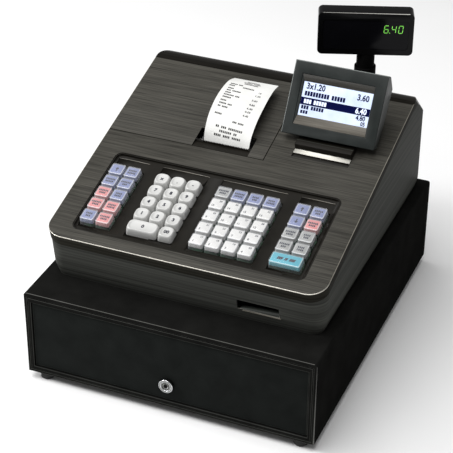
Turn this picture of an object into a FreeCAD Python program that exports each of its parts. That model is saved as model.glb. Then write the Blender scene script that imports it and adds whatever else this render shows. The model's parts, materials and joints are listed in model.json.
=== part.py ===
import FreeCAD, Part
import itertools
import math
import os
import re
import Sketcher

# Electronic cash register on its cash drawer.
# Millimetres; X to the operator's right, Y to the back, Z up; the origin is the middle of the
# footprint, on the surface that the feet stand on.

Vector = FreeCAD.Vector
doc = FreeCAD.newDocument("cash_register")
sheet = doc.addObject("Spreadsheet::Sheet", "Dims")

DIMENSIONS = {
    # drawer case
    "case_width": 355, "case_depth": 424, "case_height": 110, "foot_height": 10, "foot_radius": 8.5,
    "foot_x": 158.5, "foot_front_y": -200, "foot_rear_y": 195,
    "sheet_steel": 1.5, "case_bend": 3, "frame_side": 8.2, "frame_top": 11.5, "frame_base": 8.5,
    "frame_depth": 7, "frame_groove": 1.2,
    # drawer
    "drawer_gap": 1.2, "front_recess": 2, "front_flange": 12, "pan_half_width": 160, "pan_base": 27,
    "pan_top": 92, "pan_front_y": -180, "pan_rear_y": 163, "pan_sheet": 1.2,
    "roller_radius": 6, "roller_width": 8, "axle_radius": 2, "running_gap": 0.05, "roll_gap": 0.3,
    "case_roller_y": -192, "drawer_roller_y": 150,
    "lock_height": 41, "lock_ring_radius": 8.8, "lock_body_radius": 7.6, "plug_radius": 5.6,
    "lock_reach": 5.5,
    # till
    "till_half_width": 158, "till_front_y": -178, "till_rear_y": 161, "till_top": 80, "till_wall": 2,
    "till_split_y": -33, "cup_rows": 2, "cup_columns": 4, "clip_shaft_y": 150, "clip_shaft_height": 74,
    "clip_width": 24,
    # cabinet
    "base_half_width": 162.7, "base_front_y": -160.5, "base_corner_radius": 14, "waist_height": 134,
    "waist_half_width": 166.8, "waist_front_y": -165, "waist_corner_radius": 17,
    "cabinet_rear_y": 205, "lip_half_width": 168.6, "lip_y": -176.7, "lip_step": 0.6,
    "seam_zero": 216.7, "seam_angle": 15.19, "corner_radius": 22, "wall": 2.5,
    "face_zero": 227.65, "face_angle": 14.4, "crest_y": 175.8, "crest_height": 252.6,
    "crest_angle": 42, "crest_radius": 44, "crest_end_radius": 14, "rear_radius": 8, "seam_gap": 0.4,
    "cover_edge_x": 30, "cover_front": 1, "hinge_y": 208.4, "hinge_height": 214,
    # keyboard, measured in the plane of the face
    "well_left": -141.5, "well_right": 141, "well_front": -165.5, "well_back": -33.6, "well_radius": 9,
    "bezel_floor": 3, "bezel_depth": 8, "key_size": 18.2, "key_top": 5, "key_base": 5.5,
    "stem_radius": 2, "first_row": -65.4, "row_pitch": 19.5, "column_pitch": 19.5,
    "left_block": -117.5, "digit_block": -50.2, "department_block": 36.4, "right_block": 112.8,
    "switch_top": 9.7, "board_top": 14.4, "board_thickness": 1.6,
    # printer
    "paper_middle": -22.4, "paper_width": 57.3, "roll_radius": 32, "roll_y": 108, "roll_height": 203,
    "core_radius": 6.3, "platen_radius": 6, "platen_y": 21, "platen_height": 221, "platen_journal": 2.5,
    "throat_left": -61, "throat_right": 10, "throat_front": 1, "throat_back": 34, "paper_thickness": 0.35,
    # operator display
    "display_middle": 95.4, "display_half_width": 57, "display_low_y": 35.2, "display_low_height": 250.1,
    "display_length": 87.2, "display_lean": 31.8, "tilt_y": 56, "tilt_height": 252.5, "tilt_pin": 3,
    "bracket_left": 59, "bracket_right": 128.5, "sill_front": 17.3, "bracket_step": 29.8,
    "bracket_back": 64, "bracket_rise": 8.5,
    # customer display
    "pole_x": 92.5, "pole_y": 180, "pole_radius": 11, "neck_radius": 13.2, "neck_top": 282,
    "head_bottom": 301, "head_height": 54.5, "head_left": 59.5, "head_right": 55.5, "head_half_depth": 11,
    "head_turn": 20,
}

for row, (word, number) in enumerate(DIMENSIONS.items(), start=1):
    sheet.set(f"A{row}", word)
    sheet.set(f"B{row}", str(number))
    sheet.setAlias(f"B{row}", word)
doc.recompute()

X_AXIS = Vector(1, 0, 0)
Y_AXIS = Vector(0, 1, 0)
Z_AXIS = Vector(0, 0, 1)
parts = {}


# ---------------------------------------------------------------- expressions and placement

def expr(text):
    """Point every dimension word of an expression at the sheet."""
    return re.sub(r"\b([a-z][a-z_0-9]*)\b(?!\s*\()", r"Dims.\1", str(text))


def value(text):
    return float(sheet.evalExpression(str(text)))


def move(item, x=0, y=0, z=0):
    """Bind an object's place to the sheet."""
    for axis, text in (("x", x), ("y", y), ("z", z)):
        item.setExpression(f"Placement.Base.{axis}", expr(text))
    return item


def turn(item, axis, angle):
    """Bind an object's turn about one axis to the sheet."""
    item.Placement = FreeCAD.Placement(Vector(), FreeCAD.Rotation(axis, 10))
    item.setExpression("Placement.Rotation.Angle", expr(angle))
    return item


def onto_face(item):
    """Lay an object built flat (x, along the slope, off the surface) onto the sloping face."""
    turn(item, X_AXIS, "face_angle")
    return move(item, z="face_zero")


def keep(name, item):
    """Name a finished sub-part; the name is also its file's name."""
    item.Label = name
    parts[name] = item
    return item


# ---------------------------------------------------------------- solids

def block(name, x, y, z):
    """A box between two corners, each of x, y and z a (low, high) pair of expressions."""
    box = doc.addObject("Part::Box", name)
    for side, (low, high) in (("Length", x), ("Width", y), ("Height", z)):
        box.setExpression(side, expr(f"({high}) - ({low})"))
    return move(box, x[0], y[0], z[0])


def rod(name, axis, radius, span, first, second):
    """A cylinder along axis x, y or z; first and second are its other two coordinates, in order."""
    cylinder = doc.addObject("Part::Cylinder", name)
    cylinder.setExpression("Radius", expr(radius))
    cylinder.setExpression("Height", expr(f"({span[1]}) - ({span[0]})"))
    if axis == "x":
        cylinder.Placement.Rotation = FreeCAD.Rotation(Y_AXIS, 90)
        return move(cylinder, span[0], first, second)
    if axis == "y":
        cylinder.Placement.Rotation = FreeCAD.Rotation(X_AXIS, -90)
        return move(cylinder, first, span[0], second)
    return move(cylinder, first, second, span[0])


def fuse(name, items):
    result = doc.addObject("Part::MultiFuse", name)
    result.Shapes = items
    return result


def cut(name, base, tools):
    """Base less every tool."""
    result = doc.addObject("Part::Cut", name)
    result.Base = base
    result.Tool = tools[0] if len(tools) == 1 else fuse(f"{name}_tools", tools)
    return result


def common(name, first, second):
    result = doc.addObject("Part::Common", name)
    result.Base = first
    result.Tool = second
    return result


def round_edges(name, base, radius, wanted):
    """Fillet the edges for which wanted(edge) is true."""
    doc.recompute()
    result = doc.addObject("Part::Fillet", name)
    result.Base = base
    size = value(radius)
    edges = enumerate(base.Shape.Edges, start=1)
    result.Edges = [(number, size, size) for number, edge in edges if wanted(edge)]
    return result


def is_along(edge, axis):
    """Whether an edge is a straight one along an axis."""
    if not isinstance(edge.Curve, Part.Line):
        return False
    return abs(abs(edge.tangentAt(edge.FirstParameter).dot(axis)) - 1) < 1e-6


# ---------------------------------------------------------------- sketches

def pin_point(sketch, geometry, end, x, y):
    """Bind one point of a sketch to two expressions."""
    for kind, text in (("DistanceX", x), ("DistanceY", y)):
        index = sketch.addConstraint(Sketcher.Constraint(kind, -1, 1, geometry, end, value(text)))
        sketch.setExpression(f"Constraints[{index}]", expr(text))


def polygon(sketch, points):
    """A closed outline whose corners are pairs of expressions."""
    first = sketch.GeometryCount
    count = len(points)
    corners = [Vector(value(x), value(y), 0) for x, y in points]
    for index in range(count):
        sketch.addGeometry(Part.LineSegment(corners[index], corners[(index + 1) % count]))
    for index in range(count):
        after = first + (index + 1) % count
        sketch.addConstraint(Sketcher.Constraint("Coincident", first + index, 2, after, 1))
    for index, (x, y) in enumerate(points):
        pin_point(sketch, first + index, 1, x, y)


def rectangle(sketch, x, y):
    polygon(sketch, [(x[0], y[0]), (x[1], y[0]), (x[1], y[1]), (x[0], y[1])])


def circle(sketch, x, y, radius):
    index = sketch.addGeometry(Part.Circle(Vector(value(x), value(y), 0), Z_AXIS, value(radius)))
    size = sketch.addConstraint(Sketcher.Constraint("Radius", index, value(radius)))
    sketch.setExpression(f"Constraints[{size}]", expr(radius))
    pin_point(sketch, index, 3, x, y)


def rounded_rectangle(sketch, x, y, radius):
    """Four arcs joined by four sides; arc centres and radius come from the sheet."""
    low_x, high_x = x
    low_y, high_y = y
    centres = [(f"({low_x}) + ({radius})", f"({low_y}) + ({radius})", 180),
               (f"({high_x}) - ({radius})", f"({low_y}) + ({radius})", 270),
               (f"({high_x}) - ({radius})", f"({high_y}) - ({radius})", 0),
               (f"({low_x}) + ({radius})", f"({high_y}) - ({radius})", 90)]
    first = sketch.GeometryCount
    arcs = []
    for centre_x, centre_y, start in centres:
        ring = Part.Circle(Vector(value(centre_x), value(centre_y), 0), Z_AXIS, value(radius))
        arcs.append(Part.ArcOfCircle(ring, math.radians(start), math.radians(start + 90)))
        sketch.addGeometry(arcs[-1])
    for index in range(4):
        here = arcs[index]
        after = arcs[(index + 1) % 4]
        sketch.addGeometry(Part.LineSegment(here.EndPoint, after.StartPoint))
    for index in range(4):
        side = first + 4 + index
        after = first + (index + 1) % 4
        sketch.addConstraint(Sketcher.Constraint("Tangent", first + index, 2, side, 1))
        sketch.addConstraint(Sketcher.Constraint("Tangent", side, 2, after, 1))
    for index, (centre_x, centre_y, _) in enumerate(centres):
        pin_point(sketch, first + index, 3, centre_x, centre_y)
    size = sketch.addConstraint(Sketcher.Constraint("Radius", first, value(radius)))
    sketch.setExpression(f"Constraints[{size}]", expr(radius))


def prism(name, plane, span, draw):
    """Extrude a free sketch along x (its plane is YZ) or z (its plane is XY)."""
    sketch = doc.addObject("Sketcher::SketchObject", f"{name}_sketch")
    draw(sketch)
    if plane == "YZ":
        sketch.Placement = FreeCAD.Placement(Vector(), FreeCAD.Rotation(Vector(1, 1, 1), 120))
        sketch.setExpression("Placement.Base.x", expr(span[0]))
    else:
        sketch.setExpression("Placement.Base.z", expr(span[0]))
    solid = doc.addObject("Part::Extrusion", name)
    solid.Base = sketch
    solid.DirMode = "Normal"
    solid.Solid = True
    solid.setExpression("LengthFwd", expr(f"({span[1]}) - ({span[0]})"))
    return solid


# ---------------------------------------------------------------- PartDesign bodies

def new_body(name):
    body = doc.addObject("PartDesign::Body", name)
    body.AllowCompound = True
    return keep(name, body)


def body_sketch(body, name, role, offset, draw):
    """A sketch on one of the body's own origin planes, shifted along that plane's normal."""
    sketch = body.newObject("Sketcher::SketchObject", name)
    plane = next(item for item in body.Origin.OriginFeatures if item.Role == role)
    sketch.AttachmentSupport = (plane, [""])
    sketch.MapMode = "FlatFace"
    sketch.setExpression("AttachmentOffset.Base.z", expr(offset))
    draw(sketch)
    return sketch


def pad(body, name, role, offset, length, draw, taper=0):
    """Grow material along the plane's normal; the XZ plane's normal points to the front."""
    feature = body.newObject("PartDesign::Pad", name)
    feature.Profile = body_sketch(body, f"{name}_sketch", role, offset, draw)
    feature.setExpression("Length", expr(length))
    feature.TaperAngle = taper
    return feature


def pocket(body, name, role, offset, length, draw):
    """Remove material against the plane's normal, and check that some went."""
    doc.recompute()
    before = body.Shape.Volume
    feature = body.newObject("PartDesign::Pocket", name)
    feature.Profile = body_sketch(body, f"{name}_sketch", role, offset, draw)
    feature.setExpression("Length", expr(length))
    doc.recompute()
    if not body.Shape.Volume < before:
        raise RuntimeError(f"{name} removes nothing")
    return feature


def spool(name, steps, bore, places):
    """Turned pieces along x: steps of (radius, low x, high x) about a bore, at each place."""
    body = new_body(name)
    for number, (x, y, z) in enumerate(places):
        for step, (radius, low, high) in enumerate(steps):
            def ring(sketch, radius=radius, y=y, z=z):
                circle(sketch, y, z, radius)
                if bore:
                    circle(sketch, y, z, bore)
            pad(body, f"{name}_{number}_{step}", "YZ_Plane", f"({x}) + ({low})", f"({high}) - ({low})", ring)
    return body


# ---------------------------------------------------------------- drawer case

HALF_WIDTH = "case_width / 2"
HALF_DEPTH = "case_depth / 2"
CASE_TOP = "foot_height + case_height"
OPENING_X = ("frame_side - case_width / 2", "case_width / 2 - frame_side")
OPENING_Z = ("foot_height + frame_base", "foot_height + case_height - frame_top")
INSIDE_X = ("sheet_steel - case_width / 2", "case_width / 2 - sheet_steel")
INSIDE_Y = ("frame_depth - case_depth / 2", "case_depth / 2 - sheet_steel")


def frame_groove():
    """The pressed line that runs round the front frame, half way across it."""
    def ring(name, spread, y):
        return block(name, (f"-(case_width - frame_side) / 2 - {spread}",
                            f"(case_width - frame_side) / 2 + {spread}"), y,
                     (f"foot_height + frame_base / 2 - {spread}",
                      f"foot_height + case_height - frame_top / 2 + {spread}"))
    outer = ring("groove_outer", "frame_groove / 2", ("-case_depth / 2 - 1", "-case_depth / 2 + 1"))
    inner = ring("groove_inner", "-frame_groove / 2", ("-case_depth / 2 - 2", "-case_depth / 2 + 2"))
    return cut("groove", outer, [inner])


def drawer_case():
    blank = block("case_blank", (f"-{HALF_WIDTH}", HALF_WIDTH), (f"-{HALF_DEPTH}", HALF_DEPTH),
                  ("foot_height", CASE_TOP))

    def top_side(edge):
        return is_along(edge, Y_AXIS) and edge.CenterOfMass.z > value(CASE_TOP) - 1
    folded = round_edges("case_folded", blank, "case_bend", top_side)
    inside = block("case_inside", INSIDE_X, INSIDE_Y, ("foot_height - 1", f"{CASE_TOP} - sheet_steel"))
    opening = block("case_opening", OPENING_X, (f"-{HALF_DEPTH} - 1", INSIDE_Y[0]), OPENING_Z)
    keep("drawer_case", cut("drawer_case", folded, [inside, opening, frame_groove()]))


def drawer_case_floor():
    """Bottom plate with a channel rail up each side, the front rollers' axles and the latch pin."""
    pieces = [block("floor_plate", INSIDE_X, INSIDE_Y, ("foot_height", "foot_height + sheet_steel"))]
    rail_y = ("front_recess + front_flange + 1.5 - case_depth / 2", f"{INSIDE_Y[1]} - 1")
    ledge_top = "pan_base + 0.2"
    for side, sign in (("left", -1), ("right", 1)):
        def across(near, far, sign=sign):
            return (near, far) if sign > 0 else (f"-({far})", f"-({near})")
        wall = "case_width / 2 - sheet_steel"
        pieces.append(block(f"rail_web_{side}", across(f"{wall} - sheet_steel", wall), rail_y,
                            ("foot_height", "pan_base + 15.5")))
        pieces.append(block(f"rail_ledge_{side}", across("pan_half_width + 1.5", wall), rail_y,
                            (f"{ledge_top} - sheet_steel", ledge_top)))
        pieces.append(block(f"rail_guard_{side}", across("pan_half_width + 1.5", wall), rail_y,
                            ("pan_base + 14", "pan_base + 15.5")))
        pieces.append(block(f"axle_plate_{side}", across("pan_half_width - 1.5", "pan_half_width"),
                            ("case_roller_y - 6", "case_roller_y + 6"), ("foot_height", "pan_base - 1.5")))
        pieces.append(rod(f"axle_{side}", "x", "axle_radius",
                          across("pan_half_width - roller_width - 4", "pan_half_width - 1"),
                          "case_roller_y", "pan_base - roll_gap - roller_radius"))
    pieces.append(rod("latch_pin", "z", "axle_radius", ("foot_height", "38"), "32", "190"))
    keep("drawer_case_floor", fuse("drawer_case_floor", pieces))


def rubber_feet():
    body = new_body("rubber_feet")
    for number, x in enumerate(("-foot_x", "foot_x")):
        for step, y in enumerate(("foot_front_y", "foot_rear_y")):
            pad(body, f"foot_{number}_{step}", "XY_Plane", "0", "foot_height",
                lambda sketch, x=x, y=y: circle(sketch, x, y, "foot_radius"))


def rollers():
    """Front rollers turn on the case under the pan; rear rollers turn on the pan in the rails."""
    steps = [("roller_radius", "-roller_width / 2", "roller_width / 2")]
    bore = "axle_radius + running_gap"
    inner_x = "pan_half_width - 2.5 - roller_width / 2"
    outer_x = "pan_half_width + 2 + roller_width / 2"
    spool("case_rollers", steps, bore,
          [(sign + inner_x + ")", "case_roller_y", "pan_base - roll_gap - roller_radius")
           for sign in ("-(", "(")])
    spool("drawer_rollers", steps, bore,
          [(sign + outer_x + ")", "drawer_roller_y", "pan_base + 0.2 + roll_gap + roller_radius")
           for sign in ("-(", "(")])


def drawer_release():
    """Solenoid that pulls the latch, and the spring plunger that pushes the drawer out."""
    floor = "foot_height + sheet_steel"
    pieces = [block("coil_frame", ("-44", "-2"), ("176", "204"), (floor, "40")),
              block("release_plate", ("-80", "-2"), ("170", "208"), (floor, f"{floor} + 2")),
              rod("plunger", "x", "3", ("-3", "22"), "203", "31.5"),
              block("spring_post", ("-72", "-50"), ("196", "208"), (floor, "42")),
              rod("spring_guide", "y", "2", ("166", "197"), "-61", "34"),
              rod("spring_pad", "y", "6", ("163.4", "166"), "-61", "34")]
    for number in range(7):
        turn_y = 168 + 4 * number
        pieces.append(rod(f"spring_coil_{number}", "y", "5.2", (f"{turn_y}", f"{turn_y + 2.4}"), "-61", "34"))
    keep("drawer_release", fuse("drawer_release", pieces))


def drawer_latch():
    """Bell crank on the latch pin, drawn released: its hook stands clear of the drawer's keeper."""
    arms = [block("latch_front_arm", ("-2.5", "2.5"), ("-21", "4"), ("30", "33")),
            block("latch_hook", ("-9", "2.5"), ("-21", "-17.5"), ("30", "33")),
            block("latch_rear_arm", ("-2.5", "2.5"), ("0", "14"), ("30", "33")),
            rod("latch_hub", "z", "5", ("28", "36"), "0", "0")]
    bore = rod("latch_bore", "z", "axle_radius + running_gap", ("20", "40"), "0", "0")
    latch = cut("drawer_latch", fuse("latch_arms", arms), [bore])
    turn(latch, Z_AXIS, "15")
    keep("drawer_latch", move(latch, "32", "190"))


# ---------------------------------------------------------------- drawer

def drawer_pan():
    side = "pan_half_width"
    front_y = "front_recess + 1.5 - case_depth / 2"
    outer = block("pan_outer", (f"-{side}", side), ("pan_front_y", "pan_rear_y"), ("pan_base", "pan_top"))
    hollow = block("pan_hollow", (f"pan_sheet - {side}", f"{side} - pan_sheet"),
                   ("pan_front_y + pan_sheet", "pan_rear_y - pan_sheet"),
                   ("pan_base + pan_sheet", "pan_top + 1"))
    axle_height = "pan_base + 0.2 + roll_gap + roller_radius"
    axle_far = "pan_half_width + roller_width + 3"
    pieces = [cut("pan_tray", outer, [hollow]),
              block("pan_arm_left", (f"-{side}", f"pan_sheet - {side}"), (front_y, "pan_front_y"),
                    ("pan_base", "pan_top")),
              block("pan_arm_right", (f"{side} - pan_sheet", side), (front_y, "pan_front_y"),
                    ("pan_base", "pan_top")),
              rod("pan_axle_left", "x", "axle_radius", (f"-({axle_far})", f"0.5 - {side}"),
                  "drawer_roller_y", axle_height),
              rod("pan_axle_right", "x", "axle_radius", (f"{side} - 0.5", axle_far),
                  "drawer_roller_y", axle_height),
              block("keeper_web", ("20", "22"), ("pan_rear_y - 0.5", "176"), ("28.5", "36")),
              block("keeper_lip", ("20", "27"), ("174", "176"), ("28.5", "36"))]
    keep("drawer_pan", fuse("drawer_pan", pieces))


def drawer_front():
    """Front panel folded back along its top and both ends, with the lock's hole."""
    face = "case_depth / 2 - front_recess"
    left = f"{OPENING_X[0]} + drawer_gap"
    right = f"{OPENING_X[1]} - drawer_gap"
    low = f"{OPENING_Z[0]} + drawer_gap"
    high = f"{OPENING_Z[1]} - drawer_gap"
    body = new_body("drawer_front")
    pad(body, "front_plate", "XZ_Plane", f"{face} - sheet_steel", "sheet_steel",
        lambda sketch: rectangle(sketch, (left, right), (low, high)))

    def folds(sketch):
        inner_left = f"{left} + sheet_steel"
        inner_right = f"{right} - sheet_steel"
        inner_high = f"{high} - sheet_steel"
        polygon(sketch, [(left, low), (inner_left, low), (inner_left, inner_high), (inner_right, inner_high),
                         (inner_right, low), (right, low), (right, high), (left, high)])
    pad(body, "front_folds", "XZ_Plane", f"{face} - front_flange", "front_flange", folds)
    pocket(body, "front_lock_hole", "XZ_Plane", f"{face} + 1", "sheet_steel + 2",
           lambda sketch: circle(sketch, "0", "lock_height", "lock_body_radius + 0.1"))


def lock():
    """Cam lock: a ringed barrel fixed in the panel, and a plug that turns in it with its cam."""
    face = "case_depth / 2 - front_recess"
    bore = "plug_radius + running_gap"

    def ring(radius):
        def draw(sketch):
            circle(sketch, "0", "lock_height", radius)
            circle(sketch, "0", "lock_height", bore)
        return draw
    barrel = new_body("lock_barrel")
    pad(barrel, "barrel_ring", "XZ_Plane", face, "lock_reach", ring("lock_ring_radius"))
    pad(barrel, "barrel_tube", "XZ_Plane", f"{face} - 20", "20", ring("lock_body_radius"))

    plug = new_body("lock_plug")
    pad(plug, "plug_core", "XZ_Plane", f"{face} - 21", "20.4 + lock_reach",
        lambda sketch: circle(sketch, "0", "lock_height", "plug_radius"))
    pad(plug, "plug_tail", "XZ_Plane", f"{face} - 26", "6",
        lambda sketch: circle(sketch, "0", "lock_height", "3"))
    pad(plug, "plug_cam", "XZ_Plane", f"{face} - 25", "2",
        lambda sketch: rectangle(sketch, ("-5", "26"), ("lock_height - 5", "lock_height + 5")))
    pocket(plug, "plug_keyway", "XZ_Plane", f"{face} + lock_reach", "12",
           lambda sketch: rectangle(sketch, ("-0.9", "0.9"), ("lock_height - 2.9", "lock_height + 2.9")))


SLOT_COUNT = 4
SLOT_PITCH = "(till_half_width * 2 - till_wall) / 4"


def till_insert():
    """Moulded tray: four note slots behind an open bay that holds the coin tray."""
    floor = "pan_base + pan_sheet + 0.2"
    outer = block("till_outer", ("-till_half_width", "till_half_width"), ("till_front_y", "till_rear_y"),
                  (floor, "till_top"))
    hollows = [block("coin_bay", ("till_wall - till_half_width", "till_half_width - till_wall"),
                     ("till_front_y + till_wall", "till_split_y"), (f"{floor} + till_wall", "till_top + 1"))]
    for number in range(SLOT_COUNT):
        low = f"till_wall - till_half_width + {number} * ({SLOT_PITCH})"
        hollows.append(block(f"note_slot_{number + 1}", (low, f"{low} + {SLOT_PITCH} - till_wall"),
                             ("till_split_y + till_wall", "till_rear_y - till_wall"),
                             (f"{floor} + till_wall", "till_top + 1")))
    hollows.append(rod("shaft_holes", "x", "axle_radius + running_gap",
                       ("-till_half_width - 1", "till_half_width + 1"), "clip_shaft_y", "clip_shaft_height"))
    keep("till_insert", cut("till_insert", outer, hollows))


def coin_tray():
    """Lift-out tray of coin cups whose floors curve up to the front and the back."""
    floor = "pan_base + pan_sheet + 0.2 + till_wall + 0.2"
    half = "till_half_width - till_wall - 0.6"
    low_y = "till_front_y + till_wall + 0.6"
    high_y = "till_split_y - 0.6"
    outer = block("coin_outer", (f"-({half})", half), (low_y, high_y), (floor, "till_top - 2"))
    pitch_x = f"(2 * ({half}) - till_wall) / cup_columns"
    pitch_y = f"(({high_y}) - ({low_y}) - till_wall) / cup_rows"
    cups = []
    for row in range(int(value("cup_rows"))):
        for column in range(int(value("cup_columns"))):
            x = f"till_wall - ({half}) + {column} * {pitch_x}"
            y = f"{low_y} + till_wall + {row} * {pitch_y}"
            cups.append(block(f"cup_{row}_{column}", (x, f"{x} + {pitch_x} - till_wall"),
                              (y, f"{y} + {pitch_y} - till_wall"), (f"{floor} + till_wall", "till_top")))
    hollow = fuse("cups", cups)

    def cup_bottom(edge):
        return is_along(edge, X_AXIS) and edge.CenterOfMass.z < value("pan_base") + 10
    rounded = round_edges("cups_rounded", hollow, "till_wall * 7", cup_bottom)
    keep("coin_tray", cut("coin_tray", outer, [rounded]))


def note_clips():
    """One rod through the tray's dividers, and four clips that hinge on it and rest in the slots."""
    keep("clip_shaft", rod("clip_shaft", "x", "axle_radius",
                           ("0.5 - till_half_width", "till_half_width - 0.5"),
                           "clip_shaft_y", "clip_shaft_height"))
    for number in range(SLOT_COUNT):
        name = f"note_clip_{number + 1}"
        middle = f"(till_wall + {SLOT_PITCH}) / 2 - till_half_width + {number} * ({SLOT_PITCH})"
        width = (f"{middle} - clip_width / 2", f"{middle} + clip_width / 2")
        hub = rod(f"{name}_hub", "x", "4.5", width, "clip_shaft_y", "clip_shaft_height")
        arm = prism(f"{name}_arm", "YZ", width, lambda sketch: polygon(sketch, [
            ("clip_shaft_y + 1", "clip_shaft_height - 3.5"), ("clip_shaft_y - 2", "clip_shaft_height + 3.5"),
            ("clip_shaft_y - 54", "36"), ("clip_shaft_y - 66", "37.5"), ("clip_shaft_y - 66", "35.5"),
            ("clip_shaft_y - 53", "33.5")]))
        bore = rod(f"{name}_bore", "x", "axle_radius + running_gap", (f"{width[0]} - 1", f"{width[1]} + 1"),
                   "clip_shaft_y", "clip_shaft_height")
        keep(name, cut(name, fuse(f"{name}_solid", [hub, arm]), [bore]))


# ---------------------------------------------------------------- cabinet

CABINET_BASE = "foot_height + case_height"


def face_height(y, drop="0"):
    """Height of the sloping face at y, lowered by drop."""
    return f"face_zero + ({y}) * tan(face_angle) - ({drop})"


def crest_line(y, drop="0"):
    """Height of the crest's rear slope at y, lowered by drop."""
    return f"crest_height - (({y}) - crest_y) * tan(crest_angle) - ({drop})"


RIDGE_Y = "(crest_height + crest_y * tan(crest_angle) - face_zero) / (tan(face_angle) + tan(crest_angle))"


def tapered_form(name, inset):
    """Lower walls, waisted near the base, up to the seam; the band under the lip stands out above."""
    def outline(key, half, front, rear, radius):
        sketch = doc.addObject("Sketcher::SketchObject", f"{name}_{key}")
        rounded_rectangle(sketch, (f"{inset} - ({half})", f"{half} - {inset}"), (front, rear),
                          f"{radius} - {inset}")
        return sketch
    rear = f"cabinet_rear_y - {inset}"
    low = outline("low", "base_half_width", f"base_front_y + {inset}", rear, "base_corner_radius")
    low.setExpression("Placement.Base.z", expr(CABINET_BASE))
    waist = outline("waist", "waist_half_width", f"waist_front_y + {inset}", rear, "waist_corner_radius")
    waist.setExpression("Placement.Base.z", expr("waist_height"))
    high_front = f"(lip_y + 3.5 + lip_step + {inset}) / cos(seam_angle)"
    high = outline("high", "lip_half_width - lip_step", high_front, f"({rear}) / cos(seam_angle)",
                   "corner_radius")
    turn(high, X_AXIS, "seam_angle")
    move(high, z="seam_zero")
    loft = doc.addObject("Part::Loft", f"{name}_loft")
    loft.Sections = [low, waist, high]
    loft.Solid = True
    loft.Ruled = True
    lip = (f"(lip_y + {inset}) / cos(face_angle)", f"({rear}) / cos(face_angle)")
    band = onto_face(prism(f"{name}_band_block", "XY", ("-20", "5"), lambda sketch: rounded_rectangle(
        sketch, (f"{inset} - lip_half_width", f"lip_half_width - {inset}"), lip, f"corner_radius - {inset}")))
    return fuse(name, [loft, common(f"{name}_band", band, above_seam_plane(f"{name}_seam"))])


def seam_height(y):
    """Height of the seam's straight part at y."""
    return f"seam_zero + ({y}) * tan(seam_angle)"


def above_seam_plane(name):
    """Everything above the plane that the seam follows along the front and the sides."""
    high = prism(name, "XY", ("0", "120"), lambda sketch: rectangle(sketch, ("-200", "200"), ("-260", "260")))
    turn(high, X_AXIS, "seam_angle")
    return move(high, z="seam_zero")


def roof_prism(name, drop):
    """Everything under the face, the crest and the rear corner, lowered by drop."""
    width = ("-case_width / 2", "case_width / 2")
    rear = f"cabinet_rear_y - {drop}"
    raw = prism(f"{name}_raw", "YZ", width, lambda sketch: polygon(sketch, [
        ("-200", "100"), (rear, "100"), (rear, crest_line("cabinet_rear_y", drop)),
        (RIDGE_Y, face_height(RIDGE_Y, drop)), ("-200", face_height("-200", drop))]))
    ridge = value(RIDGE_Y)

    def at_ridge(edge):
        return is_along(edge, X_AXIS) and abs(edge.CenterOfMass.y - ridge) < 2

    def at_rear(edge):
        middle = edge.CenterOfMass
        return is_along(edge, X_AXIS) and middle.y > ridge + 20 and middle.z > 150
    crest = round_edges(f"{name}_crest", raw, f"crest_radius - {drop}", at_ridge)
    return round_edges(name, crest, f"rear_radius - {drop}", at_rear)


def crest_ends(name, drop):
    """Block under the rear slope whose long upper edges round off the two ends of the crest."""
    half = f"lip_half_width - {drop}"
    block_form = prism(name, "XY", ("-150", "260"), lambda sketch: rounded_rectangle(
        sketch, (f"-({half})", half), ("-400", "0"), f"crest_end_radius - {drop}"))
    turn(block_form, X_AXIS, "90 - crest_angle")
    return move(block_form, y="crest_y", z=f"crest_height - {drop}")


def cabinet_form(name, drop):
    """The cabinet as one solid, smaller by drop on every side."""
    walls = tapered_form(f"{name}_walls", drop)
    straight = common(f"{name}_straight", walls, roof_prism(f"{name}_roof", drop))
    return common(f"cabinet_{name}", straight, crest_ends(f"{name}_crest_ends", drop))


def split_prism(name):
    """Everything above the seam between the two cabinet halves."""
    return prism(name, "YZ", ("-case_width / 2", "case_width / 2"), lambda sketch: polygon(sketch, [
        ("-200", seam_height("-200")), ("130", seam_height("130")), ("160", "252.7"), ("176", "243.5"),
        ("190", "231"), ("220", "203"), ("220", "320"), ("-200", "320")]))


def cabinet_shell():
    """The whole cabinet as one hollow shell, open below."""
    outer = cabinet_form("outer", "0")
    inner = cabinet_form("inner", "wall")
    mouth = block("cabinet_mouth", ("wall - base_half_width + 3", "base_half_width - wall - 3"),
                  ("base_front_y + 6", "cabinet_rear_y - 6"), (f"{CABINET_BASE} - 5", f"{CABINET_BASE} + 5"))
    return cut("cabinet_shell", outer, [inner, mouth])


def face_block(name, x, along, off):
    """A box laid on the face: x, along the slope, and off the surface (negative is inwards)."""
    box = block(name, x, ("0", "1"), ("0", "1"))
    box.setExpression("Width", expr(f"({along[1]}) - ({along[0]})"))
    box.setExpression("Height", expr(f"({off[1]}) - ({off[0]})"))
    box.Placement.Rotation = FreeCAD.Rotation(X_AXIS, 10)
    box.setExpression("Placement.Rotation.Angle", expr("face_angle"))
    return move(box, x[0], f"({along[0]}) * cos(face_angle) - ({off[0]}) * sin(face_angle)",
                f"face_zero + ({along[0]}) * sin(face_angle) + ({off[0]}) * cos(face_angle)")


def cover_region(name, gap):
    """The part of the top that lifts: left of the seam and behind the keyboard."""
    return block(name, ("-case_width / 2 - 5", f"cover_edge_x - {gap}"), (f"cover_front + {gap}", "230"),
                 ("150", "330"))


def hinge_knuckles(name, spans):
    return [rod(f"{name}_{number}", "x", "3", span, "hinge_y", "hinge_height")
            for number, span in enumerate(spans)]


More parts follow.
